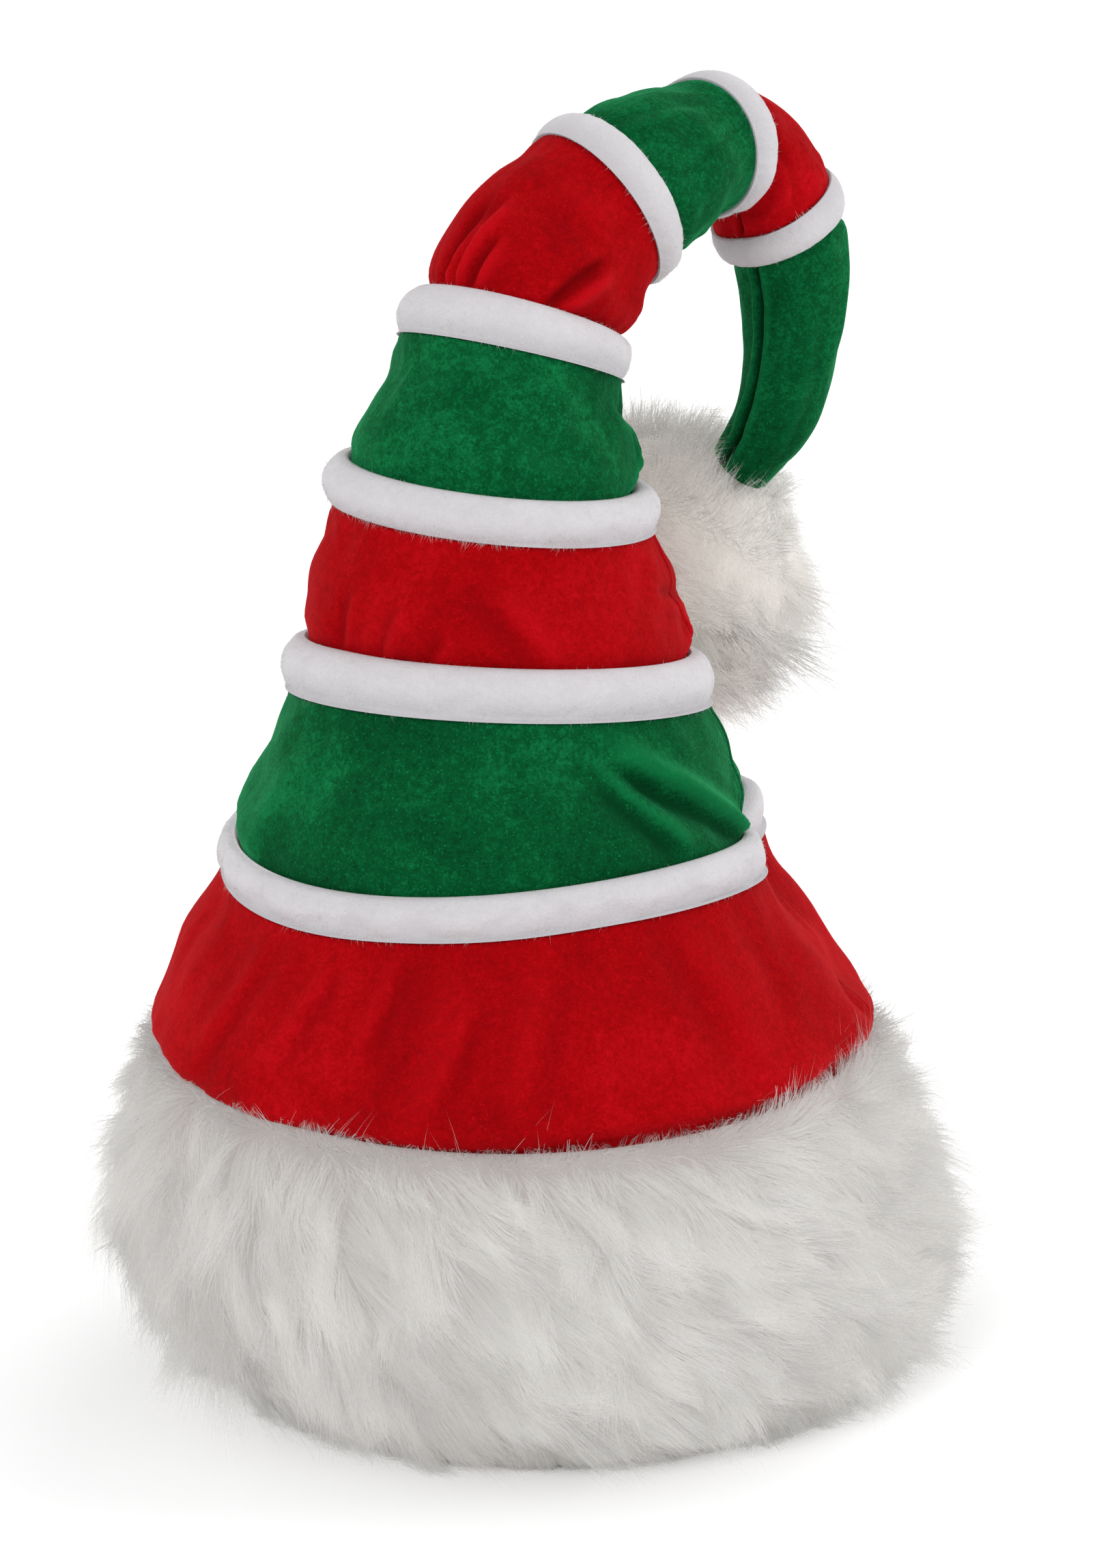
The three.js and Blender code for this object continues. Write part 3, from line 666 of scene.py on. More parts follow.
def panelPiece(band):
    rings = list(band["outside"] + band["move"])
    for along in ringPlaces(band, band["rings"] // sewing["insideThin"], sewing["insideTurns"])[::-1]:
        place = np.interp(along, band["places"], np.arange(len(band["places"])))
        low = min(int(place), len(band["places"]) - 2)
        move = band["move"][low] * (low + 1 - place) + band["move"][low + 1] * (place - low)
        rings.append(clothRing(band, along, cloth["wall"]) + move)
    faces = ringFaces(len(rings), len(rings[0]), True)
    piece = makeMesh(band["name"] + "_cloth", np.concatenate(rings), faces, finishes[band["slot"]])
    # Painted highlight on the ridges and painted shade in the valleys, from the heights of the creases and
    # the lengthwise seam
    relief = np.zeros((len(rings), len(rings[0])))
    for number, along in enumerate(band["places"]):
        relief[number] = clothRelief(band, along, *bandBearings(band, along))
    setAttributes(piece, relief=np.clip(relief / creasePaintedLight["height"], -1, 1).ravel())
    return piece


flatSizes = {}
for band in bands:
    piece = panelPiece(band)
    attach(piece, "root")
    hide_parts(band["name"])
    outside = band["outside"] + band["move"]
    around = np.linalg.norm(outside - np.roll(outside, 1, 1), axis=-1).sum(1) * mm
    steps = np.linalg.norm(np.diff(outside, axis=0), axis=-1) * mm
    flat = (float(around.max()), float(steps.sum(0).mean()))
    flatSizes[band["name"]] = flat
print("velour bands sewn", {name: [round(x, 3) for x in flat] for name, flat in flatSizes.items()})

# Strands of pile on a skin. The skin's own attributes say how they lie: comb, lift, long and dense.
strandInputs = {
    "NodeSocketFloat": ("Density", "Length", "Width", "Lock Density", "Lock Pull", "Lock Stray",
                        "Wisp Density", "Wisp Pull", "Stray", "Floor"),
    "NodeSocketInt": ("Segments", "Seed"),
    "NodeSocketMaterial": ("Material",),
}
# length and loft: how much strands differ. shade, wispShade and lockShade: how much painted shade a strand
# gets, and how much that differs by wisp and by lock. rise, run and late: how a strand leaves the skin, lies
# down and strays. taper and
# twist: its narrow tip, its turned face.
strandShape = {"length": (0.65, 1.1), "loft": (0.55, 1.1), "shade": 0.5, "wispShade": 0.22, "lockShade": 0.28,
               "rise": 2.2, "riseLess": 1.4, "run": 1.35, "late": 1.5, "taper": 0.85, "twist": 0.25,
               "floor": 0.4 * mm}


def strandTree():
    tree = bpy.data.node_groups.new("strands", "GeometryNodeTree")
    tree.interface.new_socket("Geometry", in_out="INPUT", socket_type="NodeSocketGeometry")
    for kind, names in strandInputs.items():
        for name in names:
            tree.interface.new_socket(name, in_out="INPUT", socket_type=kind)
    tree.interface.new_socket("Geometry", in_out="OUTPUT", socket_type="NodeSocketGeometry")
    given = tree.nodes.new("NodeGroupInput").outputs
    here = tree.nodes.new("GeometryNodeInputPosition").outputs[0]

    def plus(first, second):
        return numberOp(tree, "ADD", first, second)

    def times(first, *others):
        for other in others:
            first = numberOp(tree, "MULTIPLY", first, other)
        return first

    def named(name, kind="FLOAT"):
        return addNode(tree, "GeometryNodeInputNamedAttribute", {0: name}, data_type=kind).outputs[0]

    def namedVector(name):
        return named(name, "FLOAT_VECTOR")

    def scatter(density, extra):
        inputs = {"Mesh": given["Geometry"], "Density": density, "Seed": plus(given["Seed"], extra)}
        return addNode(tree, "GeometryNodeDistributePointsOnFaces", inputs).outputs

    def store(geometry, name, value, kind="FLOAT"):
        return addNode(tree, "GeometryNodeStoreNamedAttribute", {0: geometry, 2: name, 3: value},
                       data_type=kind, domain="POINT").outputs[0]

    def storeVector(geometry, name, value):
        return store(geometry, name, value, "FLOAT_VECTOR")

    def randomVector(extra, number=None):
        inputs = {0: (-1, -1, -1), 1: (1, 1, 1), "Seed": plus(given["Seed"], extra)}
        if number is not None:
            inputs["ID"] = number
        return addNode(tree, "FunctionNodeRandomValue", inputs, data_type="FLOAT_VECTOR").outputs[0]

    def randomNumber(extra, low, high):
        inputs = {2: low, 3: high, "Seed": plus(given["Seed"], extra)}
        return addNode(tree, "FunctionNodeRandomValue", inputs, data_type="FLOAT").outputs[1]

    roots = scatter(times(given["Density"], named("dense")), 0)
    points = storeVector(roots["Points"], "root", here)
    points = storeVector(points, "skin", roots["Normal"])
    for name, density, extra in (("lock", "Lock Density", 11), ("wisp", "Wisp Density", 12)):
        guides = scatter(given[density], extra)["Points"]
        nearest = addNode(tree, "GeometryNodeSampleNearest", {0: guides, 1: here}, domain="POINT").outputs[0]
        place = addNode(tree, "GeometryNodeSampleIndex", {0: guides, 1: here, 2: nearest},
                        data_type="FLOAT_VECTOR", domain="POINT").outputs[0]
        points = storeVector(points, name + "Pull", vectorOp(tree, "SUBTRACT", place, here))
        points = storeVector(points, name + "Way", randomVector(extra + 10, nearest))
    # wisp: the share of painted shade on each strand, differing at random by wisp and by lock
    wispTone, lockTone = (addNode(tree, "ShaderNodeSeparateXYZ", {0: namedVector(name)}).outputs[0]
                          for name in ("wispWay", "lockWay"))
    shade = plus(times(wispTone, strandShape["wispShade"]), times(lockTone, strandShape["lockShade"]))
    points = store(points, "wisp", plus(shade, strandShape["shade"]))
    points = storeVector(points, "stray", randomVector(31))
    reach = times(given["Length"], named("long"), randomNumber(41, *strandShape["length"]))
    points = store(points, "reach", reach)
    points = store(points, "loft", times(named("lift"), randomNumber(42, *strandShape["loft"])))

    # One strand is a strip two points wide, from -0.5 to 0.5
    blade = addNode(tree, "GeometryNodeMeshGrid", {"Size X": 1.0, "Size Y": 1.0, "Vertices X": 2,
                                                   "Vertices Y": plus(given["Segments"], 1)}).outputs["Mesh"]
    spot = addNode(tree, "ShaderNodeSeparateXYZ", {0: here}).outputs
    blade = store(blade, "side", spot[0])
    blade = store(blade, "share", plus(spot[1], 0.5))
    strands = addNode(tree, "GeometryNodeInstanceOnPoints", {"Points": points, "Instance": blade}).outputs[0]
    strands = addNode(tree, "GeometryNodeRealizeInstances", {0: strands}).outputs[0]

    share, reach, loft = named("share"), named("reach"), named("loft")
    skin, comb, stray = namedVector("skin"), namedVector("comb"), namedVector("stray")
    bend = times(share, strandShape["riseLess"])
    rise = times(share, numberOp(tree, "SUBTRACT", strandShape["rise"], bend))
    run, late = (numberOp(tree, "POWER", share, strandShape[key]) for key in ("run", "late"))
    steps = [
        (skin, times(rise, loft, reach)),
        (comb, times(run, reach)),
        (namedVector("lockPull"), times(late, given["Lock Pull"])),
        (namedVector("wispPull"), times(late, given["Wisp Pull"])),
        (namedVector("lockWay"), times(run, given["Lock Stray"], reach)),
        (namedVector("wispWay"), times(late, given["Stray"], reach)),
        (stray, times(late, given["Stray"], reach)),
    ]
    place = namedVector("root")
    for way, amount in steps:
        place = vectorOp(tree, "ADD", place, vectorOp(tree, "SCALE", way, scale=amount))
    across = vectorOp(tree, "ADD", vectorOp(tree, "CROSS_PRODUCT", comb, skin),
                      vectorOp(tree, "SCALE", stray, scale=strandShape["twist"]))
    taper = numberOp(tree, "SUBTRACT", 1.0, times(late, strandShape["taper"]))
    breadth = times(taper, given["Width"], named("side"))
    across = vectorOp(tree, "SCALE", vectorOp(tree, "NORMALIZE", across), scale=breadth)
    axes = addNode(tree, "ShaderNodeSeparateXYZ", {0: vectorOp(tree, "ADD", place, across)}).outputs
    height = numberOp(tree, "MAXIMUM", axes[2], given["Floor"])
    place = addNode(tree, "ShaderNodeCombineXYZ", {0: axes[0], 1: axes[1], 2: height}).outputs[0]
    strands = addNode(tree, "GeometryNodeSetPosition", {"Geometry": strands, "Position": place}).outputs[0]
    for name in ("root", "lockPull", "lockWay", "wispPull", "wispWay", "stray", "reach", "loft", "side",
                 "comb", "lift", "long", "dense"):
        strands = addNode(tree, "GeometryNodeRemoveAttribute", {0: strands, 1: name}).outputs[0]
    strands = addNode(tree, "GeometryNodeSetShadeSmooth", {0: strands}).outputs[0]
    strands = addNode(tree, "GeometryNodeRealizeInstances", {0: strands}).outputs[0]
    strands = addNode(tree, "GeometryNodeSetMaterial", {0: strands, "Material": given["Material"]}).outputs[0]
    tree.links.new(strands, tree.nodes.new("NodeGroupOutput").inputs[0])
    return tree


strands = strandTree()
sparse = 1.0


# Strands grown on a skin, as a plain mesh of their own
def growPile(skinPiece, name, look, seed, material):
    modifier = skinPiece.modifiers.new("pile", "NODES")
    modifier.node_group = strands
    values = dict(look, Seed=seed, Material=material, Floor=strandShape["floor"])
    values["Density"] = look["Density"] * sparse
    for item in strands.interface.items_tree:
        if item.in_out == "INPUT" and item.name in values:
            modifier[item.identifier] = values[item.name]
    grown = skinPiece.evaluated_get(bpy.context.evaluated_depsgraph_get())
    mesh = bpy.data.meshes.new_from_object(grown)
    skinPiece.modifiers.remove(modifier)
    mesh.name = name
    piece = addObject(name, mesh)
    piece.visible_shadow = piece.visible_diffuse = False  # hairs this thin shade each other little
    print(name, len(mesh.polygons), "faces")
    return piece


# Padded rolls on the seams: plump where the filling lies, drawn in where the lengthwise seam crosses them.
# face: degrees round the section from the lower edge to the top. back: places on the cloth behind it.
# free: degrees between which the simulation may move the face.
# shadeFrom and shade: from which angle painted shade spreads down a roll's face, and how strong it gets at
# the lower edge
piping = {"face": (-53, -52, *range(-46, 90, 10), 90), "back": (0.36, 0.2, 0, -0.2, -0.3, -0.38),
          "columns": 230, "clear": 0.4, "least": 0.6, "lumps": 0.3, "lumpSize": 22.0, "pinch": 0.16,
          "pinchReach": 2.2, "stitch": 0.18, "stitchPitch": 5.0, "stitchShift": 2, "stitchWander": 20.0,
          "stitchEdge": 4, "free": (-36, 84), "hold": 20, "shadeFrom": 20, "shade": 0.55, "seed": 200,
          "seedStep": 10}
fuzz = {"Density": 1400000.0, "Length": 2.2 * mm, "Width": 0.17 * mm, "Segments": 1, "Lock Density": 4000.0,
        "Lock Pull": 0.0, "Lock Stray": 0.0, "Wisp Density": 40000.0, "Wisp Pull": 0.0, "Stray": 0.7}
# Fuzz lies down, long and dense, round one lean of the surface below. Pairs: anywhere, and more there.
fuzzLie = {"under": -0.55, "spread": 0.4, "comb": 0.85, "lift": (0.6, -0.2), "long": (0.55, 0.5),
           "dense": (0.35, 0.65), "outside": 0.1, "outsideOver": 0.2, "seed": 300}


# Rings of a roll, and how firmly their points are held: at its edges, at the back and where the seam crosses
def rollRings(seam, below, above, seed):
    half = seam["wide"] / 2
    bearing = np.arange(piping["columns"]) * 360 / piping["columns"]
    sway = (foldDepth(below, 1.0, bearing) + foldDepth(above, 0.0, bearing)) / 2
    turn = np.stack(circle(bearing, seam["radius"]), -1)
    plump = 1 + piping["lumps"] * ripple(turn, piping["lumpSize"], seed) / half
    arc = np.radians(turnBetween(bearing, below["join"][1])) * seam["radius"]
    crossing = bell(arc / piping["pinchReach"])
    plump = plump - piping["pinch"] * crossing
    wander = piping["stitchShift"] * ripple(turn, piping["stitchWander"], seed + 1)
    stitch = np.sin(2 * math.pi * arc / piping["stitchPitch"] + wander)
    section, held = [], []
    for angle in np.radians(piping["face"]):
        girth = half * plump - piping["stitch"] * abs(math.sin(angle)) ** piping["stitchEdge"] * stitch
        full = max(0.0, math.cos(angle)) ** seam["power"]
        section.append((half * math.sin(angle), seam["radius"] - half - sway + girth * full, piping["least"]))
        low, high = (ease((limit - math.degrees(angle)) / piping["hold"]) for limit in piping["free"])
        held.append(np.maximum(crossing, max(low, 1 - high)))
    section += [(share * seam["wide"], 0 * bearing, 0) for share in piping["back"]]
    held += [0 * bearing + 1] * len(piping["back"])
    rings = []
    for offset, outward, least in section:
        band = below if offset < 0 else above
        along = 1 + offset / below["length"] if offset < 0 else offset / above["length"]
        inside = np.maximum(clothRadius(band, along, bearing), seamRadius(seam) - sway) + piping["clear"]
        rings.append(onRing(band, along, bearing, np.maximum(outward, inside + least)))
    return np.array(rings), np.array(held)


def vertexArrays(piece):
    count = len(piece.data.vertices)
    points, normals = np.zeros(count * 3, np.float32), np.zeros(count * 3, np.float32)
    piece.data.vertices.foreach_get("co", points)
    piece.data.vertex_normals.foreach_get("vector", normals)
    return points.reshape(-1, 3).astype(float), normals.reshape(-1, 3).astype(float)


jobs = []
for number, seam in enumerate(seams[1:-1]):
    seed = piping["seed"] + piping["seedStep"] * number
    jobs.append((*rollRings(seam, bands[number], bands[number + 1], seed), True, seam["radius"]))
moves = settle(jobs, settling["rolls"])
for number, seam in enumerate(seams[1:-1]):
    rings, held, _, _ = jobs[number]
    rings = rings + moves[number] * (1 - held)[..., None]
    faces = ringFaces(len(rings), piping["columns"], True)
    piece = makeMesh(seam["name"] + "_roll", rings.reshape(-1, 3), faces, finishes["white_velour"])
    # Painted shade: from shadeFrom degrees down to the lower edge, and on the rings behind, the white velour
    # turns towards its shade colour
    turned = np.array(piping["face"] + (piping["face"][0],) * len(piping["back"]), float)
    paintedUnderShade = ease((piping["shadeFrom"] - turned) / (piping["shadeFrom"] - piping["face"][0]))
    setAttributes(piece, under=np.repeat(paintedUnderShade * piping["shade"], piping["columns"]))
    points, normals = vertexArrays(piece)
    facing = normals @ seam["axis"]
    down = unit(-seam["axis"] + facing[:, None] * normals)
    outside = (normals * unit(points / mm - hatShift - seam["centre"])).sum(-1)
    under = bell((facing - fuzzLie["under"]) / fuzzLie["spread"])
    lift, long, dense = (fuzzLie[key][0] + fuzzLie[key][1] * under for key in ("lift", "long", "dense"))
    dense = dense * ease((outside - fuzzLie["outside"]) / fuzzLie["outsideOver"])
    setAttributes(piece, comb=down * (fuzzLie["comb"] * under)[:, None], lift=lift, long=long, dense=dense)
    fuzzPile = growPile(piece, seam["name"] + "_fuzz", fuzz, fuzzLie["seed"] + number, finishes["white_fur"])
    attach(piece, "root")
    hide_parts(seam["name"])
    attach(fuzzPile, "root")
print("pipings filled")

# Fur cuff: the knitted ground under the pile, from the floor up, and how the pile lies on it
cuff = {"columns": 264, "rows": 52, "lip": 2.2, "lipRings": 8, "clear": 0.7, "insideRings": 8,
        "insideDrop": 1, "seed": 500, "tuft": 2.2, "tuftSize": 30.0, "fineTuft": 1.1, "fineTuftSize": 15.0,
        "tuftDrop": 0.55, "tuftFrom": 20, "tuftTo": 98, "tuftFade": 14, "tuftSeed": 77}
cuffRows = [
    dict(z=1.2, radius=102), dict(z=8, radius=110), dict(z=22, radius=120.5), dict(z=50, radius=126),
    dict(z=78, radius=124), dict(z=96, radius=117),
]
cuffDents = [
    dict(bearing=300, depth=6, width=30, z=12, height=34),
    dict(bearing=75, depth=-6, width=28, z=24, height=40),
]
cuffPile = {"Density": 1290000.0, "Length": 26 * mm, "Width": 0.26 * mm, "Segments": 2,
            "Lock Density": 5200.0, "Lock Pull": 0.46, "Lock Stray": 0.25, "Wisp Density": 60000.0,
            "Wisp Pull": 0.42, "Stray": 0.14}


def cuffDent(z, bearing):
    depth = 0 * bearing
    for dent in cuffDents:
        up = (z - dent["z"]) / dent["height"]
        around = turnBetween(bearing, dent["bearing"]) / dent["width"]
        depth = depth + dent["depth"] * np.exp(-up * up - around * around)
    return depth


def redAlong(z):
    low, high = bands[0]["lower"]["at"][2], bands[0]["upper"]["at"][2]
    return float(np.clip((z - low) / (high - low), 0, 1))


# Points round the red band at given heights and distances, all arrays over the bearings
def roundRed(bearing, height, radius=None, over=0.0):
    ring = []
    for b, h, r in zip(bearing, height, radius if radius is not None else height):
        along = redAlong(h)
        if radius is None:
            r = float(clothRadius(bands[0], along, np.array(b))) + over
        ring.append(onRing(bands[0], along, np.array(b), np.array(r)))
    ring = np.array(ring)
    ring[:, 2] = height
    return ring


def cuffGround():
    bearing = np.arange(cuff["columns"]) * 360 / cuff["columns"]
    table = np.array([(row["z"], row["radius"]) for row in cuffRows])
    top = cuffTop(bearing)
    rings = []
    for z in np.linspace(table[0, 0], table[-1, 0], cuff["rows"]):
        radius = np.interp(z, table[:, 0], table[:, 1]) - cuffDent(z, bearing)
        x, y = circle(bearing, radius)
        spot = np.stack((y, x, 0 * bearing + z * cuff["tuftDrop"]), -1)
        tufts = cuff["tuft"] * ripple(spot, cuff["tuftSize"], cuff["tuftSeed"])
        tufts = tufts + cuff["fineTuft"] * ripple(spot, cuff["fineTuftSize"], cuff["tuftSeed"] + 1)
        fade = float(ease(z / cuff["tuftFrom"]) * ease((cuff["tuftTo"] - z) / cuff["tuftFade"]))
        rings.append(roundRed(bearing, 0 * bearing + z, radius + tufts * fade))
    edge = roundRed(bearing, top, over=cuff["lip"])
    shoulder = rings[-1]
    for t in np.linspace(0, 1, cuff["lipRings"] + 1)[1:]:  # over the top edge to the cloth
        ring = shoulder + (edge - shoulder) * t
        ring[:, 2] = shoulder[:, 2] + (top - shoulder[:, 2]) * math.sin(t * math.pi / 2)
        rings.append(ring)
    outside = len(rings)
    for share in np.linspace(1, 0, cuff["insideRings"]):  # and down the inside
        height = (top - cuff["insideDrop"]) * share + table[0, 0] * (1 - share)
        rings.append(roundRed(bearing, height, over=cuff["clear"]))
    piece = makeMesh("fur_cuff_ground", np.concatenate(rings), ringFaces(len(rings), len(bearing), True),
                     finishes["white_fur"])
    return piece, outside * len(bearing)


# Comb the pile: down the cuff, drawn to the right in front and on the right, with swirls.
# flow: (bearing, degrees that the pile leans to its right from straight down). up: where the ground faces up.
# edge: short and upright along the top edge. over: the hair there lies up over the red cloth.
combing = {"flow": ((-90, -32), (-62, 4), (-42, 34), (-20, 44), (0, 42), (40, 50), (75, 64), (120, 58),
                    (180, 15), (235, -12)),
           "swirl": 22.0, "swirlSize": 55.0, "tuft": 22.0, "tuftSize": 20.0, "seed": 71,
           "lift": 0.35, "liftVary": 0.25, "liftSizes": (34.0, 15.0), "longVary": 0.14, "longSize": 13.0,
           "edgeFrom": 7, "edgeOver": 6, "edgeLift": 0.8, "edgeLess": 0.6, "edgeComb": 0.7, "overAt": 58,
           "overWidth": 30, "overLeast": 0.28, "overLie": 0.4, "overLong": 0.7, "overComb": 0.7,
           "least": 0.3, "fullAt": 60, "highFrom": 80, "highOver": 20, "highLess": 0.25, "fullOver": 18,
           "upFrom": 0.55, "upOver": 0.3, "upLess": 0.6, "leastComb": 0.1}
# Sides where the pile is fuller: more length low down, all over and at the shoulder, and more lift there
fullSides = [
    dict(bearing=285, width=50, low=0.3, middle=0.16, high=0, highLift=0),
    dict(bearing=78, width=42, low=0.3, middle=-0.12, high=0.5, highLift=0.1),
]


def combCuff(piece):
    points, normals = vertexArrays(piece)
    local = points / mm - hatShift
    bearing = np.degrees(np.arctan2(local[:, 0], -local[:, 1]))
    z, seed = local[:, 2], combing["seed"]
    right = unit(np.cross(upright, normals))
    down = unit(np.cross(right, normals))
    flow = np.array(combing["flow"], float)
    angle = np.interp(bearing, flow[:, 0], flow[:, 1], period=360)
    angle = angle + combing["swirl"] * ripple(local, combing["swirlSize"], seed)
    angle = np.radians(angle + combing["tuft"] * ripple(local, combing["tuftSize"], seed + 1))
    comb = down * np.cos(angle)[:, None] + right * np.sin(angle)[:, None]
    vary = 1
    for extra, size in enumerate(combing["liftSizes"]):
        vary = vary + combing["liftVary"] * ripple(local, size, seed + 2 + extra)
    edge = ease((z - cuffTop(bearing) + combing["edgeFrom"]) / combing["edgeOver"])
    over = bell(turnBetween(bearing, combing["overAt"]) / combing["overWidth"])
    over = edge * np.maximum(over, combing["overLeast"])
    lift = combing["lift"] * vary
    lift = lift + (combing["edgeLift"] - lift) * edge - combing["overLie"] * over
    least, fuller = combing["least"], 1
    for side in fullSides:
        share = bell(turnBetween(bearing, side["bearing"]) / side["width"])
        high = share * ease((z - combing["highFrom"]) / combing["fullOver"])
        least = least + side["low"] * share
        fuller = fuller + side["middle"] * share + side["high"] * high
        lift = lift + side["highLift"] * high * (1 - edge)
    long = fuller * np.clip(least + z / combing["fullAt"], least, 1.0)
    long = long * (1 - combing["highLess"] * ease((z - combing["highFrom"]) / combing["highOver"]))
    long = long * (1 - combing["edgeLess"] * (edge - combing["overLong"] * over))
    up = ease((normals[:, 2] - combing["upFrom"]) / combing["upOver"])
    long = long * (1 - combing["upLess"] * up * (1 - over))
    long = long * (1 + combing["longVary"] * ripple(local, combing["longSize"], seed + 5))
    flat = np.sqrt(np.maximum(combing["leastComb"], 1 - lift**2)) * (1 - combing["edgeComb"] * edge)
    comb = comb * flat[:, None] - down * (combing["overComb"] * over)[:, None]
    setAttributes(piece, comb=comb, lift=lift, long=long)
    return bearing % 360, edge, right, down


cuffSkin, grownPoints = cuffGround()
bearing, edge, right, down = combCuff(cuffSkin)
outer = np.arange(len(bearing)) < grownPoints
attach(cuffSkin, "root")
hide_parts("fur_cuff")
for name, start in (("fur_cuff_front", 300), ("fur_cuff_right", 60), ("fur_cuff_left", 180)):
    setAttributes(cuffSkin, dense=outer & ((bearing - start) % 360 < 120))
    pile = growPile(cuffSkin, name, cuffPile, cuff["seed"], finishes["white_fur"])
    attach(pile, "root")

# A few long hairs rise over the red cloth in clusters
guardPile = dict(cuffPile, **{"Density": 380000.0, "Length": 14 * mm, "Width": 0.19 * mm, "Segments": 4,
                              "Lock Pull": 0.0, "Lock Stray": 0.5, "Wisp Pull": 0.0, "Stray": 0.35})
guard = {"cluster": 0.22, "gain": 1.6, "cut": 0.1, "clusterSeed": 75, "loose": 0.05, "edge": 0.6, "rise": 2,
         "comb": 0.8, "lift": 0.3, "seed": 550}
cosine, sine = circle(bearing)
cluster = ripple(np.stack((sine, cosine), -1), guard["cluster"], guard["clusterSeed"])
cluster = ease(cluster * guard["gain"] - guard["cut"])
setAttributes(cuffSkin, dense=outer * (edge > guard["edge"]) * (guard["loose"] + cluster),
              comb=unit(right - guard["rise"] * down) * guard["comb"],
              lift=np.full(len(bearing), guard["lift"]), long=np.ones(len(bearing)))
guardHair = growPile(cuffSkin, "fur_cuff_guard", guardPile, guard["seed"], finishes["white_fur"])
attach(guardHair, "root")
print("cuff combed")

# Pompom: a ball of the same fur, coloured lighter as painted light, on the end of the tail, that hangs to its
# lower right. hangMore, topLess, crownLess and tailMore change the length of hair that faces so: how much,
# from where and over how far.
pompom = {"at": (41, 115, 234), "ground": 42.5, "rows": 60, "columns": 96, "pole": 0.02, "droop": 0.62,
          "swirl": 0.45, "swirlSize": 34.0, "lift": 0.55, "liftVary": 0.25, "liftSize": 18.0, "tailLift": 0.6,
          "longVary": 0.18, "longSize": 13.0, "hang": (0.62, -0.2, -0.76), "top": (0.75, -0.3, 0.6),
          "hangMore": (0.55, 0.3, 0.6), "topLess": (0.62, 0.4, 0.5), "crownLess": (0.6, 0.35, 0.5),
          "tailMore": (0.35, 0.7, 0.2), "tailComb": 0.7, "tuft": 1.4, "tuftSize": 30.0, "seed": 81,
          "pileSeed": 600}
pompomPile = dict(cuffPile, **{"Density": 1700000.0, "Length": 20 * mm, "Lock Density": 9000.0,
                               "Lock Pull": 0.3, "Lock Stray": 0.3, "Stray": 0.3})


def pompomGround():
    polar = np.linspace(pompom["pole"], math.pi - pompom["pole"], pompom["rows"])
    around = np.arange(pompom["columns"]) * 2 * math.pi / pompom["columns"]
    rings = []
    for p in polar:
        ring = (math.sin(p) * np.cos(around), math.sin(p) * np.sin(around), 0 * around - math.cos(p))
        rings.append(np.stack(ring, -1))
    points = np.concatenate(rings) * pompom["ground"]
    tufts = pompom["tuft"] / pompom["ground"] * ripple(points, pompom["tuftSize"], pompom["seed"] + 3)
    points = points * (1 + tufts)[:, None] + np.array(pompom["at"])
    faces = ringFaces(len(rings), len(around), False)
    faces += [list(range(len(around)))[::-1], list(range(len(points) - len(around), len(points)))]
    return makeMesh("pompom_ground", points, faces, finishes["pompom_fur_painted_light"])


def combPompom(piece):
    points, _ = vertexArrays(piece)
    local, seed, middle = points / mm - hatShift, pompom["seed"], np.array(pompom["at"])
    outward = unit(local - middle)
    drop = unit(np.array(pompom["hang"]))
    crownWay, tailWay = unit(seams[2]["centre"] - middle), unit(seams[-1]["centre"] - middle)

    def near(way, key):
        _, start, reach = pompom[key]
        return ease((outward @ way - start) / reach)

    over = near(tailWay, "tailMore")  # hair that lies over the tail's end
    long = 1 + pompom["hangMore"][0] * near(drop, "hangMore")
    long = long - pompom["topLess"][0] * near(unit(np.array(pompom["top"])), "topLess")
    long = long - pompom["crownLess"][0] * near(crownWay, "crownLess")
    long = long + pompom["tailMore"][0] * over
    tangent = drop - (outward @ drop)[:, None] * outward
    swirl = np.cross(outward, tangent) * ripple(local, pompom["swirlSize"], seed)[:, None]
    rise = tailWay - (outward @ tailWay)[:, None] * outward
    comb = tangent * pompom["droop"] + swirl * pompom["swirl"]
    comb = comb + (rise * pompom["tailComb"] - comb) * over[:, None]
    vary = 1 + pompom["liftVary"] * ripple(local, pompom["liftSize"], seed + 1) + pompom["tailLift"] * over
    long = long * (1 + pompom["longVary"] * ripple(local, pompom["longSize"], seed + 2))
    setAttributes(piece, comb=comb, lift=pompom["lift"] * vary, long=long, dense=np.ones(len(points)))


pompomSkin = pompomGround()
combPompom(pompomSkin)
pompomHair = growPile(pompomSkin, "pompom_pile", pompomPile, pompom["pileSeed"], finishes["pompom_fur_painted_light"])
for piece in (pompomSkin, pompomHair):
    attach(piece, "root")
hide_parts("pompom")
print("pompom tied")

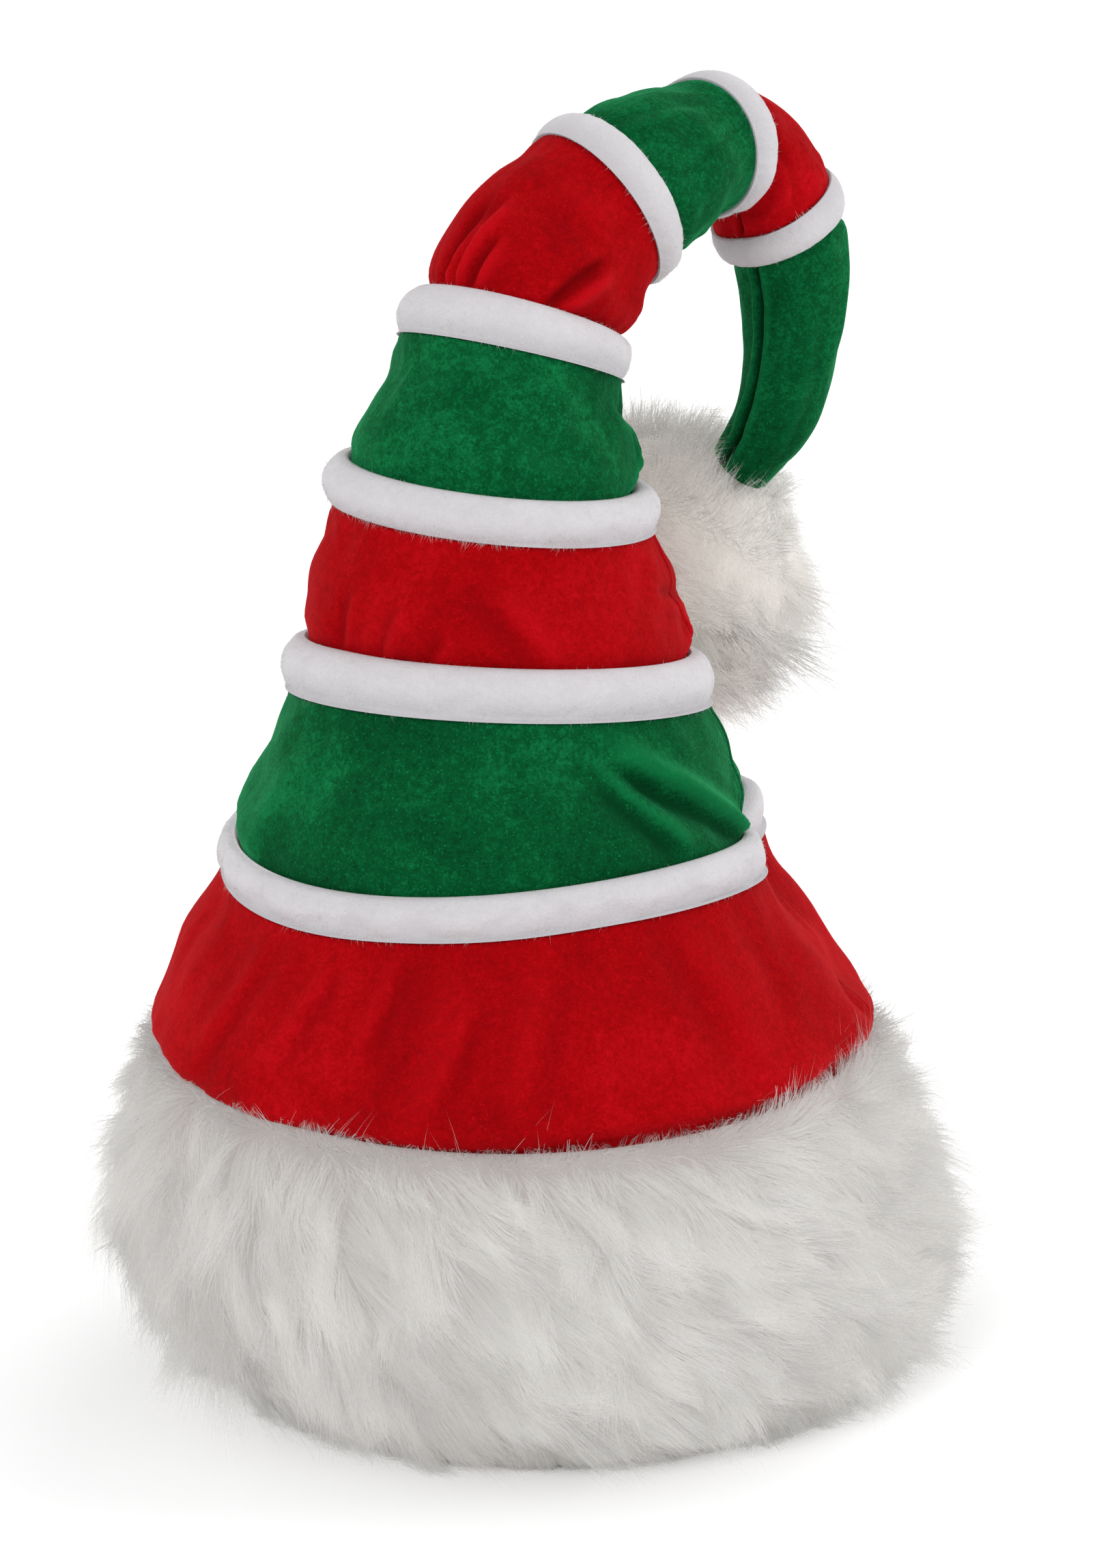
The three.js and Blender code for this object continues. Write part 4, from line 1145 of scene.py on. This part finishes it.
# Camera, floor and soft light
shot = {"target": (3.7, 0, 188), "distance": 1700, "elevation": 15, "focal": 7966, "frameHigh": 2296}
studio = {"floor": ((-9, -9, 0), (9, -9, 0), (9, 12, 0), (-9, 12, 0)), "paint": (0.97, 0.97, 0.97, 1),
          "roughness": 0.9, "sky": 0.5, "clipEnd": 100}
camera = addObject("camera", bpy.data.cameras.new("camera"))
camera.data.lens = shot["focal"] / shot["frameHigh"] * camera.data.sensor_width
camera.data.clip_end = studio["clipEnd"]
backwards = -lean(90 + shot["elevation"], 180)
camera.location = (np.array(shot["target"]) + hatShift + backwards * shot["distance"]) * mm
camera.rotation_euler = (math.radians(90 - shot["elevation"]), 0, 0)
bpy.context.scene.camera = camera

floorMesh = bpy.data.meshes.new("floor")
floorMesh.from_pydata(studio["floor"], [], [(0, 1, 2, 3)])
floorPaint, _, floorShader = newMaterial("pale_floor")
floorShader.inputs["Base Color"].default_value = studio["paint"]
floorShader.inputs["Roughness"].default_value = studio["roughness"]
floorMesh.materials.append(floorPaint)
floor = addObject("floor", floorMesh)

lamps = [
    dict(name="key", way=(0.5, 1.0, -0.9), angle=35, strength=1.5),
    dict(name="fill", way=(-0.8, 1.0, -0.22), angle=80, strength=0.6),
    dict(name="side", way=(-1.0, 0.1, -0.3), angle=60, strength=0.75),
    dict(name="back", way=(-0.8, -0.7, -0.6), angle=70, strength=1.5),
    dict(name="rim", way=(0.9, -0.6, -0.5), angle=70, strength=0.9),
]
for lamp in lamps:
    light = addObject(lamp["name"], bpy.data.lights.new(lamp["name"], "SUN"))
    light.data.angle = math.radians(lamp["angle"])
    light.data.energy = lamp["strength"]
    light.rotation_euler = Vector(lamp["way"]).to_track_quat("-Z", "Y").to_euler()
    light.location = -2 * Vector(lamp["way"])

world = bpy.data.worlds.new("studio")
bpy.context.scene.world = world
world.use_nodes = True
world.node_tree.nodes["Background"].inputs["Color"].default_value = (1, 1, 1, 1)
world.node_tree.nodes["Background"].inputs["Strength"].default_value = studio["sky"]
bpy.context.scene.view_settings.view_transform = "Standard"
print("studio lit")

bpy.context.view_layer.update()
